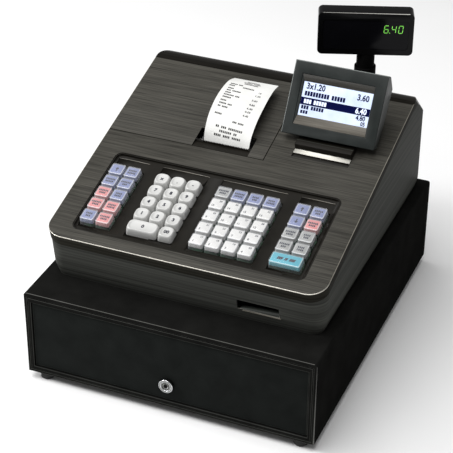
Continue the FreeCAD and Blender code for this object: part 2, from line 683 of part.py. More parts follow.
def cabinet():
    shell = cabinet_shell()
    upper = common("upper_shell", shell, split_prism("above_seam"))
    lower = cut("lower_shell", shell, [split_prism("below_seam")])

    # upper half: keyboard opening, display seat and pole hole, without the printer cover
    well = onto_face(prism("well_opening", "XY", ("-12", "5"), lambda sketch: rounded_rectangle(
        sketch, ("well_left", "well_right"), ("well_front", "well_back"), "well_radius")))
    seat = face_block("display_seat", ("bracket_left - 0.3", "bracket_right + 0.3"),
                      ("sill_front - 0.3", "bracket_back + 0.3"), ("-10", "5"))
    pole_hole = rod("pole_hole", "z", "neck_radius + 0.3", ("200", "300"), "pole_x", "pole_y")
    keep("top_cabinet", cut("top_cabinet", upper, [cover_region("cover_gap", "0"), well, seat, pole_hole]))

    # printer cover, hinged behind the rear wall
    throat = face_block("throat", ("throat_left", "throat_right"), ("throat_front", "throat_back"),
                        ("-12", "5"))
    lid = common("cover_lid", upper, cover_region("cover_kept", "seam_gap"))
    knuckle_spans = [("-120", "-100"), ("-20", "0")]
    webs = []
    for number, span in enumerate(knuckle_spans):
        webs.append(block(f"cover_web_{number}", span, ("cabinet_rear_y + seam_gap", "hinge_y"),
                          ("hinge_height", "hinge_height + 7")))
        webs.append(block(f"cover_root_{number}", span, ("cabinet_rear_y - 1.5", "cabinet_rear_y + 1"),
                          ("hinge_height + 4.9", "hinge_height + 7")))
    bores = rod("cover_bores", "x", "1.5 + running_gap", ("-150", "30"), "hinge_y", "hinge_height")
    trims = [throat, bores]
    cover = fuse("cover_solid", [lid] + webs + hinge_knuckles("cover_knuckle", knuckle_spans))
    keep("printer_cover", cut("printer_cover", cover, trims))

    # lower half: card slot, cord hole and the hinge pin in its own knuckles
    card_slot = block("card_slot", ("66", "116"), ("-185", "-150"), ("135", "148"))
    gland_hole = rod("gland_hole", "y", "8", ("190", "212"), "-120", "140")
    ears = []
    for number, span in enumerate([("-99.6", "-92"), ("-28", "-20.4")]):
        ears += hinge_knuckles(f"case_knuckle_{number}", [span])
        ears.append(block(f"case_web_{number}", span, ("cabinet_rear_y - 1.5", "hinge_y"),
                          ("hinge_height - 6", "hinge_height")))
    pins = [rod("hinge_pin_left", "x", "1.5", ("-119", "-93"), "hinge_y", "hinge_height"),
            rod("hinge_pin_right", "x", "1.5", ("-27", "-1"), "hinge_y", "hinge_height")]
    open_lower = cut("lower_open", lower, [card_slot, gland_hole])
    keep("lower_cabinet", fuse("lower_cabinet", [open_lower] + ears + pins))


def register_base():
    """Chassis plate that the printer, the transformer and the pole stand over."""
    keep("register_base", block("register_base", ("9 - base_half_width", "base_half_width - 9"),
                                ("base_front_y + 9", "cabinet_rear_y - 9"),
                                (CABINET_BASE, f"{CABINET_BASE} + 2")))


def cabinet_fittings():
    gland = fuse("gland_solid", [rod("gland_tube", "y", "7.8", ("200", "209.5"), "-120", "140"),
                                 rod("gland_flange", "y", "10.5", ("205", "207"), "-120", "140")])
    cord_bore = rod("gland_bore", "y", "3.6", ("198", "212"), "-120", "140")
    keep("cord_gland", cut("cord_gland", gland, [cord_bore]))
    screws = doc.addObject("Part::Compound", "cabinet_screws")
    screws.Links = [rod(f"screw_{number}", "y", "3", ("cabinet_rear_y", "cabinet_rear_y + 2"), x, z)
                    for number, (x, z) in enumerate(itertools.product(("-135", "135"), ("132", "196")))]
    keep("cabinet_screws", screws)
    keep("main_board", block("main_board", ("15", "135"), ("40", "160"), ("134", "134 + board_thickness")))
    core = block("transformer_core", ("-145", "-85"), ("-60", "-10"), ("126", "172"))
    coil = block("transformer_coil", ("-139", "-91"), ("-66", "-4"), ("134", "164"))
    tabs = block("transformer_foot", ("-150", "-80"), ("-55", "-15"), (f"{CABINET_BASE} + 2", "126"))
    keep("transformer", fuse("transformer", [core, coil, tabs]))


# ---------------------------------------------------------------- keyboard

# each block: middle, columns, rows, and its recess in the bezel (left, right)
BLOCKS = {
    "left": ("left_block", 2, 5, "-136.5", "-96.8"),
    "digit": ("digit_block", 3, 5, "-79.4", "-20.6"),
    "department": ("department_block", 4, 5, "-3.6", "76.5"),
    "right": ("right_block", 2, 5, "93.2", "133.4"),
}
RECESS_SPAN = ("-157.5", "-40.3")


def key_x(block_name, column):
    middle, columns, _, _, _ = BLOCKS[block_name]
    return f"{middle} + {column - (columns - 1) / 2} * column_pitch"


def key_row(row):
    return f"first_row - {row} * row_pitch"


def keys(name, block_name, places, wide=0):
    """Keys that share a body: tapered caps over round stems; wide adds whole columns of width."""
    body = new_body(name)
    half_x = f"(key_size + {wide} * column_pitch) / 2"
    caps = [(f"{key_x(block_name, column)} + {wide / 2} * column_pitch", key_row(row))
            for column, row in places]

    for number, (x, y) in enumerate(caps):
        def top(sketch, x=x, y=y):
            rounded_rectangle(sketch, (f"{x} - {half_x}", f"{x} + {half_x}"),
                              (f"{y} - key_size / 2", f"{y} + key_size / 2"), "2.2")
        pad(body, f"{name}_cap_{number}", "XY_Plane", "-key_base", "key_base + key_top", top, taper=-5)
        pad(body, f"{name}_stem_{number}", "XY_Plane", "-key_base - 5.3", "5.5",
            lambda sketch, x=x, y=y: circle(sketch, x, y, "stem_radius"))
    onto_face(body)


DIGIT_KEYS = {
    "key_7": (0, 1), "key_8": (1, 1), "key_9": (2, 1), "key_4": (0, 2), "key_5": (1, 2), "key_6": (2, 2),
    "key_1": (0, 3), "key_2": (1, 3), "key_3": (2, 3), "key_00": (2, 4),
}


def keyboard():
    for name, place in DIGIT_KEYS.items():
        keys(name, "digit", [place])
    keys("key_0", "digit", [(0, 4)], wide=1)
    keys("keys_digit_top", "digit", [(column, 0) for column in range(3)])
    for block_name, rows in (("left", 5), ("department", 5), ("right", 4)):
        for column in range(BLOCKS[block_name][1]):
            keys(f"keys_{block_name}_{column + 1}", block_name, [(column, row) for row in range(rows)])
    keys("key_total", "right", [(0, 4)], wide=1)

    # bezel: a tray under the face, with a shallow recess and a through window for each block
    body = new_body("keyboard_bezel")

    def well_shape(margin):
        return lambda sketch: rounded_rectangle(
            sketch, (f"well_left + {margin}", f"well_right - {margin}"),
            (f"well_front + {margin}", f"well_back - {margin}"), f"well_radius - {margin}")
    pad(body, "bezel_blank", "XY_Plane", "-bezel_depth", "bezel_depth - 0.6", well_shape("0.2"))
    pocket(body, "bezel_tray", "XY_Plane", "0", "bezel_floor", well_shape("1.6"))
    for name, (_, _, _, left, right) in BLOCKS.items():
        pocket(body, f"bezel_recess_{name}", "XY_Plane", "0", "bezel_floor + 1.2",
               lambda sketch, left=left, right=right: rectangle(sketch, (left, right), RECESS_SPAN))
        low = f"{key_x(name, 0)} - key_size / 2 - 0.8"
        high = f"{key_x(name, BLOCKS[name][1] - 1)} + key_size / 2 + 0.8"
        pocket(body, f"bezel_window_{name}", "XY_Plane", "0", "bezel_depth + 1",
               lambda sketch, low=low, high=high: rectangle(
                   sketch, (low, high),
                   (f"{key_row(4)} - key_size / 2 - 0.8", f"{key_row(0)} + key_size / 2 + 0.8")))
    onto_face(body)

    # board: one switch under every key stem
    spots = [(key_x(name, column), key_row(row))
             for name, (_, columns, rows, _, _) in BLOCKS.items()
             for column in range(columns)
             for row in range(rows)
             if not (row == 4 and (name == "right" or (name == "digit" and column < 2)))]
    spots.append((f"{key_x('digit', 0)} + column_pitch / 2", key_row(4)))
    spots.append((f"{key_x('right', 0)} + column_pitch / 2", key_row(4)))
    switches = [block("board_plate", ("-136", "136"), ("-160", "-48"),
                      ("-board_top - board_thickness", "-board_top"))]
    sockets = []
    for number, (x, y) in enumerate(spots):
        switches.append(block(f"switch_{number}", (f"{x} - 6", f"{x} + 6"), (f"{y} - 6", f"{y} + 6"),
                              ("-board_top", "-switch_top")))
        sockets.append(rod(f"socket_{number}", "z", "stem_radius + running_gap", ("-board_top", "0"), x, y))
    board = cut("keyboard_board", fuse("board_solid", switches), sockets)
    keep("keyboard_board", onto_face(board))


# ---------------------------------------------------------------- printer

def printer():
    roll_x = ("paper_middle - 28.7", "paper_middle + 28.7")
    frame_left = ("-57", "-55")
    frame_right = ("10.5", "12.5")
    base = f"{CABINET_BASE} + 2"
    plates = []
    for number, span in enumerate((frame_left, frame_right)):
        plates.append(prism(f"frame_plate_{number}", "YZ", span, lambda sketch: polygon(sketch, [
            ("8", base), ("122", base), ("122", "roll_height + 12"), ("95", "roll_height + 14"),
            ("32", "platen_height + 9"), ("8", "platen_height + 1")])))
    cross = block("frame_cross", ("-57", "12.5"), ("8", "122"), (base, f"{base} + 2"))
    between = ("-56", "11.5")
    head = block("print_head", between, ("8", "13"), ("platen_height - 8", "platen_height + 2"))
    spindle = rod("roll_spindle", "x", "core_radius - running_gap", between, "roll_y", "roll_height")
    bores = [rod("platen_bores", "x", "platen_journal + running_gap", ("-60", "15"),
                 "platen_y", "platen_height")]
    frame = fuse("frame_solid", plates + [cross, head, spindle])
    keep("printer_frame", cut("printer_frame", frame, bores))

    steps = [("platen_radius", "-30", "30"), ("platen_journal", "-34.4", "-30"),
             ("platen_journal", "30", "34.6")]
    spool("platen_roller", steps, None, [("paper_middle", "platen_y", "platen_height")])

    roll = new_body("paper_roll")

    def roll_ring(sketch):
        circle(sketch, "roll_y", "roll_height", "roll_radius")
        circle(sketch, "roll_y", "roll_height", "core_radius")
    pad(roll, "roll_paper", "YZ_Plane", roll_x[0], f"({roll_x[1]}) - ({roll_x[0]})", roll_ring)


def paper_cutter():
    """Sloping dark apron across the throat with a toothed steel blade along its rear edge."""
    width = ("throat_left + 0.2", "throat_right - 0.2")
    apron = prism("cutter_apron", "YZ", width, lambda sketch: polygon(sketch, [
        ("throat_front + 1", face_height("throat_front", "0.3")), ("13.6", face_height("13.6", "3.2")),
        ("13.6", face_height("13.6", "6.2")), ("throat_front + 1", face_height("throat_front", "3"))]))
    left = value("throat_left") + 1
    teeth = 34
    pitch = (value("throat_right") - value("throat_left") - 2) / teeth
    points = [Vector(left, 0, 0)]
    for number in range(teeth):
        points.append(Vector(left + number * pitch, 0, 4))
        points.append(Vector(left + (number + 0.5) * pitch, 0, 5.2))
    points += [Vector(left + teeth * pitch, 0, 4), Vector(left + teeth * pitch, 0, 0), points[0]]
    blade = doc.addObject("Part::Feature", "cutter_blade")
    blade.Shape = Part.Face(Part.makePolygon(points)).extrude(Vector(0, 0.6, 0))
    move(blade, "0", "13", face_height("13", "4.8"))
    keep("paper_cutter", fuse("paper_cutter", [apron, blade]))


# how the receipt lies, from the throat to its tip: y and height along its left and its right edge
RECEIPT_LEFT = [(15.2, 229), (18.5, 243), (27, 255), (38, 263), (52, 269.2), (70, 272.8), (92, 273),
                (111.2, 267.5)]
RECEIPT_RIGHT = [(15.2, 229), (20, 238.5), (30, 247.5), (43, 254.8), (59, 260.8), (77, 266.2), (95, 269.2),
                 (110.9, 268.3)]


def strip_side(x, line):
    """Closed outline of the strip at x: a curve through line's points, and one under it."""
    upper = Part.BSplineCurve()
    upper.interpolate([Vector(x, y, z) for y, z in line])
    thickness = value("paper_thickness")
    below = []
    for step in range(len(line)):
        at = upper.FirstParameter + (upper.LastParameter - upper.FirstParameter) * step / (len(line) - 1)
        tangent = upper.tangent(at)[0]
        below.append(upper.value(at) + Vector(0, tangent.z, -tangent.y) * thickness)
    lower = Part.BSplineCurve()
    lower.interpolate(below)
    tip = Part.makeLine(upper.EndPoint, lower.EndPoint)
    root = Part.makeLine(lower.StartPoint, upper.StartPoint)
    return Part.Wire(Part.__sortEdges__([upper.toShape(), tip, lower.toShape(), root]))


def receipt_paper():
    """Printed strip: up out of the throat, then curling back over the cover, higher at its left edge."""
    left = value("paper_middle - paper_width / 2")
    right = value("paper_middle + paper_width / 2")
    strip = doc.addObject("Part::Feature", "receipt_paper")
    sides = [strip_side(left, RECEIPT_LEFT), strip_side(right, RECEIPT_RIGHT)]
    strip.Shape = Part.makeLoft(sides, True, True)
    keep("receipt_paper", strip)


# ---------------------------------------------------------------- displays

def leaning(item):
    """Stand an object built upright (x, thickness back, height) against the display's front plane."""
    turn(item, X_AXIS, "-display_lean")
    return move(item, "display_middle", "display_low_y", "display_low_height")


def face_point(v, w):
    """y and height of the point v up the face and w off it."""
    return (f"{v} * cos(face_angle) - ({w}) * sin(face_angle)",
            f"face_zero + {v} * sin(face_angle) + ({w}) * cos(face_angle)")


def display_bracket():
    """Sill, bright strip and dipped body set in the face, with two ears that carry the tilt pin."""
    left = "bracket_left"
    right = "bracket_right"
    body = prism("bracket_body", "YZ", (left, right), lambda sketch: polygon(sketch, [
        face_point("bracket_step", "-4"), face_point("bracket_step", "bracket_rise"),
        face_point("(bracket_step + 8)", "bracket_rise"), ("tilt_y - 9", "tilt_height - 7.5"),
        face_point("bracket_back", "5"), face_point("bracket_back", "-4")]))
    plates = [face_block("bracket_sill", (left, right), ("sill_front", "23"), ("-4", "-1.6")),
              face_block("bracket_strip", (left, right), ("22.8", "bracket_step + 0.1"), ("-4", "0.8")),
              body]
    for number, span in enumerate(((left, f"{left} + 6"), (f"{right} - 6", right))):
        plates.append(rod(f"bracket_ear_{number}", "x", "6", span, "tilt_y", "tilt_height"))
        plates.append(block(f"bracket_post_{number}", span, ("tilt_y - 6", "tilt_y + 6"),
                            ("tilt_height - 12", "tilt_height")))
    pin = rod("tilt_pin", "x", "tilt_pin", (f"{left} + 1", f"{right} - 1"), "tilt_y", "tilt_height")
    relief = rod("bracket_relief", "x", "9.5", (f"{left} + 6", f"{right} - 6"), "tilt_y", "tilt_height")
    solid = cut("bracket_relieved", fuse("bracket_solid", plates), [relief])
    keep("display_bracket", fuse("display_bracket", [solid, pin]))


def operator_display():
    half = "display_half_width"
    side = (f"display_middle - {half}", f"display_middle + {half}")
    lean_y = "display_low_y + display_length * sin(display_lean)"
    lean_z = "display_low_height + display_length * cos(display_lean)"
    housing = prism("display_housing", "YZ", side, lambda sketch: polygon(sketch, [
        ("display_low_y", "display_low_height"), (lean_y, lean_z), (f"{lean_y} + 9", f"{lean_z} - 5"),
        (f"{lean_y} + 18", f"{lean_z} - 25"), ("tilt_y + 17", "tilt_height + 14"),
        ("display_low_y + 12", "display_low_height - 3.5")]))
    hub = rod("display_hub", "x", "8", ("bracket_left + 6.4", "bracket_right - 6.4"), "tilt_y", "tilt_height")
    neck = block("display_neck", ("bracket_left + 6.4", "bracket_right - 6.4"), ("tilt_y - 6", "tilt_y + 6"),
                 ("tilt_height", "tilt_height + 12"))
    bore = rod("display_bore", "x", "tilt_pin + running_gap", ("bracket_left", "bracket_right"),
               "tilt_y", "tilt_height")
    ear_spans = (("bracket_left - 1", "bracket_left + 6.4"), ("bracket_right - 6.4", "bracket_right + 1"))
    ear_rooms = [rod(f"ear_room_{number}", "x", "7.5", span, "tilt_y", "tilt_height")
                 for number, span in enumerate(ear_spans)]
    window = leaning(block("display_recess", ("0", "1"), ("0", "1"), ("0", "1")))
    for prop, text in (("Length", "89.4"), ("Width", "6"), ("Height", "59.7")):
        window.setExpression(prop, expr(text))
    move(window, "50", "display_low_y + 12.7 * sin(display_lean) - cos(display_lean)",
         "display_low_height + 12.7 * cos(display_lean) + sin(display_lean)")
    shell = cut("display_trimmed", housing, [window] + ear_rooms)
    solid = fuse("display_solid", [shell, hub, neck])
    keep("operator_display_shell", cut("operator_display_shell", solid, [bore]))

    panel = leaning(block("lcd_panel", ("0", "84.7"), ("0", "2"), ("0", "40")))
    move(panel, "53.3", "display_low_y + 24 * sin(display_lean) + 2.8 * cos(display_lean)",
         "display_low_height + 24 * cos(display_lean) - 2.8 * sin(display_lean)")
    keep("lcd_panel", panel)


def customer_display():
    stages = {"neck": ("neck_radius", "172", "neck_top"),
              "stem": ("pole_radius", "neck_top", "head_bottom - 0.3"),
              "spigot": ("5", "head_bottom - 1", "head_bottom + 14")}
    pole = fuse("customer_pole", [rod(f"pole_{name}", "z", radius, (low, high), "pole_x", "pole_y")
                                  for name, (radius, low, high) in stages.items()])
    keep("customer_pole", pole)

    shell = new_body("customer_display_shell")
    pad(shell, "head_blank", "XZ_Plane", "-head_half_depth", "2 * head_half_depth",
        lambda sketch: rounded_rectangle(sketch, ("-head_left", "head_right"), ("0", "head_height"), "6"))
    pocket(shell, "head_window", "XZ_Plane", "head_half_depth + 1", "3.5",
           lambda sketch: rounded_rectangle(sketch, ("6 - head_left", "head_right - 6"),
                                            ("7", "head_height - 10"), "4"))
    pocket(shell, "head_bore", "XY_Plane", "14.5", "16",
           lambda sketch: circle(sketch, "0", "0", "5 + running_gap"))

    window = new_body("customer_display_window")
    pad(window, "window_plate", "XZ_Plane", "head_half_depth - 2.4", "2",
        lambda sketch: rounded_rectangle(sketch, ("6.3 - head_left", "head_right - 6.3"),
                                         ("7.3", "head_height - 10.3"), "3.7"))
    for body in (shell, window):
        turn(body, Z_AXIS, "head_turn")
        move(body, "pole_x", "pole_y", "head_bottom")


# ---------------------------------------------------------------- build, check and write

drawer_case()
drawer_case_floor()
rubber_feet()
rollers()
drawer_release()
drawer_latch()
drawer_pan()
drawer_front()
lock()
till_insert()
coin_tray()
note_clips()
cabinet()
register_base()
cabinet_fittings()
keyboard()
printer()
paper_cutter()
receipt_paper()
display_bracket()
operator_display()
customer_display()
doc.recompute()

faults = [item.Name for item in doc.Objects if "Invalid" in item.State or "Error" in item.State]
faults += [name for name, item in parts.items() if item.Shape.isNull() or not item.Shape.isValid()]
if faults:
    raise RuntimeError("failed: " + ", ".join(faults))

os.makedirs("parts", exist_ok=True)
for name, item in parts.items():
    item.Shape.exportStep(f"parts/{name}.step")
print(len(parts), "sub-parts written")
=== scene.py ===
"""Visible pieces and materials of the cash register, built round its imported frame.

Metres in the row frame: X to the operator's right, Y to the back, Z up. Sizes that are written
in millimetres carry the factor MM.
"""
import json
import math
import random

import bmesh
import bpy
from mathutils import Matrix, Vector


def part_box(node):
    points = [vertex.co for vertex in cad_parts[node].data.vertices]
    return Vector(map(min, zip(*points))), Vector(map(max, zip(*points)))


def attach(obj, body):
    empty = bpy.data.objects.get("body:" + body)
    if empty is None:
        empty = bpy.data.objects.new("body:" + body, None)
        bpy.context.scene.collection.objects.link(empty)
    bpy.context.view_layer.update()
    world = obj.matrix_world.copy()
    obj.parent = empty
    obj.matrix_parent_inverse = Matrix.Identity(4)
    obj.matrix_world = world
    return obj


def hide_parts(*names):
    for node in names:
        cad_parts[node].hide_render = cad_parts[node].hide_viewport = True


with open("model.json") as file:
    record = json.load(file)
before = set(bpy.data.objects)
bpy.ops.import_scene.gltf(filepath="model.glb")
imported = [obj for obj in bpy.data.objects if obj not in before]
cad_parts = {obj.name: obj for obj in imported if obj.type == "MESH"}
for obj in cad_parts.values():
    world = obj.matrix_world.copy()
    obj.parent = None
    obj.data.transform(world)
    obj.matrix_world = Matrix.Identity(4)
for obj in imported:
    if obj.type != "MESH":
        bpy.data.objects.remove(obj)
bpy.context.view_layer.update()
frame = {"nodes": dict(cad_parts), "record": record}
scene = bpy.context.scene
MM = 0.001
WELD = 1e-6
BODY_OF = {node: body for body, nodes in frame["record"]["behaviour"]["bodies"].items() for node in nodes}
SLOT_OF = {node: holder.data.materials[0].name for node, holder in frame["nodes"].items()}


# -------------------- camera, light and floor

CAMERA_PLACE = (0.620359, -1.555247, 1.175776)
CAMERA_ANGLES = (22.221, 31.985, 0.444)
CAMERA_LENS = 130.58


def look_matrix(azimuth, elevation, roll):
    """Rotation of a camera that looks back along (azimuth, elevation) and is rolled, all in degrees."""
    a, e, r = (math.radians(angle) for angle in (azimuth, elevation, roll))
    back = Vector((math.sin(a) * math.cos(e), -math.cos(a) * math.cos(e), math.sin(e)))
    right = Vector((0, 0, 1)).cross(back).normalized()
    up = back.cross(right)
    across = right * math.cos(r) + up * math.sin(r)
    upward = up * math.cos(r) - right * math.sin(r)
    return Matrix((across, upward, back)).transposed()


camera = bpy.data.objects.new("camera", bpy.data.cameras.new("camera"))
camera.data.lens = CAMERA_LENS
camera.data.sensor_width = 36
camera.data.clip_end = 20
camera.matrix_world = Matrix.Translation(CAMERA_PLACE) @ look_matrix(*CAMERA_ANGLES).to_4x4()
scene.collection.objects.link(camera)
scene.camera = camera


def area_light(name, place, target, size, power):
    """Rectangular lamp at place, facing target; its size is in metres and its power in watts."""
    light = bpy.data.lights.new(name, "AREA")
    light.shape = "RECTANGLE"
    light.size, light.size_y = size
    light.energy = power
    holder = bpy.data.objects.new(name, light)
    holder.location = place
    holder.rotation_euler = (Vector(target) - Vector(place)).to_track_quat("-Z", "Y").to_euler()
    scene.collection.objects.link(holder)


area_light("top_softbox", (-0.35, -0.5, 2.35), (0, -0.1, 0), (2.5, 1.9), 56)
area_light("left_softbox", (-1.9, -0.9, 1.5), (0, 0, 0.2), (0.5, 0.7), 30)

world = bpy.data.worlds.new("studio")
world.use_nodes = True
world.node_tree.nodes["Background"].inputs["Color"].default_value = (1, 1, 1, 1)
world.node_tree.nodes["Background"].inputs["Strength"].default_value = 0.26
scene.world = world
scene.view_settings.view_transform = "Standard"


# -------------------- materials

def linear(*srgb):
    """Linear colour of three 0 to 255 display values."""
    scaled = [value / 255 for value in srgb]
    return tuple(v / 12.92 if v <= 0.04045 else ((v + 0.055) / 1.055) ** 2.4 for v in scaled) + (1.0,)


MATERIALS = {}


class Look:
    """A Principled material, kept in MATERIALS; noise varies its colour, gloss and relief."""

    def __init__(self, name, roughness=0.5, metallic=0.0, **sockets):
        self.made = MATERIALS[name] = bpy.data.materials.new(name)
        self.made.use_nodes = True
        self.tree = self.made.node_tree
        self.shader = self.tree.nodes["Principled BSDF"]
        self.shader.inputs["Roughness"].default_value = roughness
        self.shader.inputs["Metallic"].default_value = metallic
        for socket, value in sockets.items():
            self.shader.inputs[socket.replace("_", " ")].default_value = value
        self.coordinates = self.tree.nodes.new("ShaderNodeTexCoord").outputs["Object"]
        self.relief = None

    def node(self, kind, **sockets):
        """A new node, with each socket linked to an output or set to a value."""
        made = self.tree.nodes.new(kind)
        for socket, value in sockets.items():
            socket = made.inputs[socket.replace("_", " ")]
            if isinstance(value, bpy.types.NodeSocket):
                self.tree.links.new(value, socket)
            else:
                socket.default_value = value
        return made

    def noise(self, stretch, detail=3.0, roughness=0.55, place=(0, 0, 0)):
        """Noise with stretch cycles per metre along each axis."""
        spread = self.node("ShaderNodeMapping", Vector=self.coordinates, Scale=stretch, Location=place)
        return self.node("ShaderNodeTexNoise", Vector=spread.outputs[0], Scale=1.0, Detail=detail,
                         Roughness=roughness).outputs[0]

    def mixed(self, first, second, share):
        """The first output blended into the second; share is the part that is the second's."""
        made = self.tree.nodes.new("ShaderNodeMix")
        made.inputs["Factor"].default_value = share
        self.tree.links.new(first, made.inputs["A"])
        self.tree.links.new(second, made.inputs["B"])
        return made.outputs["Result"]

    def ramp(self, factor, *stops):
        """Colour that follows factor through (position, colour) stops."""
        made = self.node("ShaderNodeValToRGB", Fac=factor)
        elements = made.color_ramp.elements
        while len(elements) < len(stops):
            elements.new(0.5)
        for element, (position, colour) in zip(elements, stops):
            element.position = position
            element.color = colour
        return made.outputs["Color"]

    def between(self, factor, low, high, start=0.3, stop=0.7):
        """A number that goes from low to high while factor goes from start to stop."""
        return self.node("ShaderNodeMapRange", Value=factor, From_Min=start, From_Max=stop,
                         To_Min=low, To_Max=high).outputs[0]

    def colour(self, output, socket="Base Color"):
        """Link a colour to the shader."""
        self.tree.links.new(output, self.shader.inputs[socket])

    def rough(self, output):
        """Link a roughness to the shader."""
        self.tree.links.new(output, self.shader.inputs["Roughness"])

    def bump(self, height, depth, strength=1.0):
        """Relief of depth metres that follows height, over any relief added before."""
        made = self.node("ShaderNodeBump", Height=height, Distance=depth, Strength=strength)
        if self.relief is not None:
            self.tree.links.new(self.relief, made.inputs["Normal"])
        self.relief = made.outputs["Normal"]
        self.tree.links.new(self.relief, self.shader.inputs["Normal"])


BAND_SHARE = 0.26
BAND_SHIFT = (3.1, 0.7, 5.3)


def brushed(name, dark, light, stretch, broad, roughness, depth=0.00002, **sockets):
    """Dark plastic with a fine brushed pattern: long thin streaks over broader bands."""
    look = Look(name, **sockets)
    fine = look.noise(stretch, detail=5.0, roughness=0.65)
    bands = look.noise(broad, detail=2.0, place=BAND_SHIFT)
    streaks = look.mixed(fine, bands, BAND_SHARE)
    halfway = tuple((a + b) / 2 for a, b in zip(dark, light))
    look.colour(look.ramp(streaks, (0.34, dark), (0.5, halfway), (0.68, light)))
    look.rough(look.between(streaks, roughness[0], roughness[1]))
    look.bump(fine, depth)


def moulded(name, colour, roughness, grain=2600, depth=0.00003, spread=0.18, **sockets):
    """Plastic or paint with a fine even grain and a little unevenness in tone and gloss."""
    look = Look(name, **sockets)
    tone = look.noise((38, 38, 38), detail=4.0)
    dark = tuple(c * (1 - spread) for c in colour[:3]) + (1.0,)
    light = tuple(min(1.0, c * (1 + spread)) for c in colour[:3]) + (1.0,)
    look.colour(look.ramp(tone, (0.3, dark), (0.7, light)))
    look.rough(look.between(tone, roughness - 0.05, roughness + 0.06))
    look.bump(look.noise((grain, grain, grain), detail=2.0), depth)


def plated(name, colour, roughness, stretch=(500, 500, 500), depth=0.000004):
    """Metal with the faint marks of how it was worked."""
    look = Look(name, metallic=1.0)
    lay = look.noise(stretch, detail=4.0)
    dark = tuple(c * 0.86 for c in colour[:3]) + (1.0,)
    look.colour(look.ramp(lay, (0.3, dark), (0.7, colour)))
    look.rough(look.between(lay, roughness * 0.75, roughness * 1.3))
    look.bump(lay, depth)


def glowing(name, low, high, strength, stretch=(60, 60, 60)):
    """Lit surface whose brightness is slightly uneven."""
    look = Look(name, roughness=0.25)
    shade = look.ramp(look.noise(stretch, detail=1.0), (0.3, low), (0.7, high))
    look.colour(shade)
    look.colour(shade, "Emission Color")
    look.shader.inputs["Emission Strength"].default_value = strength


def clear_plastic(name, faint, strong):
    """Clear plastic, opaque to the share faint where it is seen flat on and strong where edge on."""
    look = Look(name, roughness=0.08, Specular_IOR_Level=0.6)
    tone = look.noise((90, 90, 90), detail=2.0)
    look.colour(look.ramp(tone, (0.3, linear(225, 228, 232)), (0.7, linear(245, 246, 248))))
    edge_on = look.node("ShaderNodeLayerWeight", Blend=0.35).outputs["Facing"]
    look.tree.links.new(look.between(edge_on, faint, strong, 0.1, 0.95), look.shader.inputs["Alpha"])
    look.bump(look.noise((240, 240, 240), detail=2.0), 0.00002)


# cycles per metre along each axis: streaks along X, and level streaks round the sides
ALONG_X = (15, 820, 820)
LEVEL = (2.5, 2.5, 420)
LEVEL_BANDS = (1.2, 1.2, 190)
# shares of the usual gloss
SATIN = {"Specular_IOR_Level": 0.12}
MATT = {"Specular_IOR_Level": 0.008}
NO_GLOSS = {"Specular_IOR_Level": 0.0}

moulded("case_paint", linear(25, 25, 24), 0.55, grain=1500, depth=0.00006, **NO_GLOSS)
# painted highlights: the next three are lighter greys for bevels, thin lines where edges catch the light
moulded("case_line_highlight", linear(66, 67, 64), 0.4, grain=900, **MATT)
moulded("panel_edge_highlight", linear(58, 60, 57), 0.4, grain=900, **MATT)
moulded("case_edge_highlight", linear(92, 92, 88), 0.35, grain=900)
moulded("front_paint", linear(27, 29, 28), 0.42, grain=1700, depth=0.00005, **MATT)
moulded("rubber", linear(30, 30, 30), 0.8, grain=900, depth=0.00006)
plated("steel", linear(176, 178, 181), 0.34, (300, 300, 300))
plated("chrome", linear(208, 209, 212), 0.16)
moulded("till_plastic", linear(52, 52, 53), 0.55, grain=1300, depth=0.00008)
moulded("clip_plastic", linear(74, 75, 79), 0.45)
brushed("cabinet_plastic", linear(38, 39, 37), linear(80, 81, 77), LEVEL, LEVEL_BANDS, (0.38, 0.5), **MATT)
# painted shade: the cabinet's brushed plastic made darker, for the band that faces down under the lip
brushed("band_painted_shade", linear(22, 21, 18), linear(48, 47, 42), LEVEL, LEVEL_BANDS, (0.4, 0.5), **MATT)
brushed("face_plastic", linear(33, 32, 29), linear(81, 79, 73), ALONG_X, (4, 190, 190), (0.38, 0.5),
        **SATIN)
brushed("crest_plastic", linear(16, 15, 12), linear(30, 28, 25), (9, 240, 240), (2, 30, 30), (0.24, 0.32),
        depth=0.000008, Specular_IOR_Level=0.05)
moulded("bezel_plastic", linear(25, 23, 19), 0.45, grain=2200, **SATIN)
# painted highlight: a pale grey for the lit edges of recesses and openings
moulded("bezel_edge_highlight", linear(142, 138, 129), 0.35, grain=900)
moulded("slot_lining", linear(52, 55, 51), 0.4, grain=900)
brushed("circuit_board", linear(18, 74, 42), linear(30, 104, 58), (240, 240, 240), (30, 30, 30),
        (0.3, 0.42))
brushed("transformer_steel", linear(70, 66, 62), linear(112, 106, 98), (1400, 20, 20), (60, 60, 60),
        (0.4, 0.55))
moulded("display_plastic", linear(35, 39, 38), 0.4, grain=2000, Specular_IOR_Level=0.2)
# painted highlight: a paler grey for the lit edges of the display's housing
moulded("display_edge_highlight", linear(92, 97, 95), 0.35, grain=900)
# painted light and shade: one brushed plate, pale where it faces the light and darker where it faces down
brushed("plate_painted_lit", linear(80, 76, 69), linear(118, 113, 104), ALONG_X, (4, 90, 90), (0.35, 0.45))
brushed("plate_painted_shade", linear(30, 29, 25), linear(54, 52, 46), ALONG_X, (4, 90, 90), (0.35, 0.45))
moulded("gloss_black", linear(9, 9, 10), 0.14, grain=120, depth=0.00001, **SATIN)
# painted highlight: a light grey for the lit top edge of the customer display
moulded("gloss_edge_highlight", linear(170, 168, 162), 0.3, grain=900)
moulded("pole_plastic", linear(13, 13, 13), 0.4, grain=1500, **MATT)
moulded("display_window", linear(12, 12, 15), 0.1, grain=90, depth=0.000004, Specular_IOR_Level=0.1)
plated("lock_metal", linear(128, 130, 126), 0.24, (60, 900, 900))
plated("silver", linear(168, 166, 159), 0.36, (20, 900, 900))
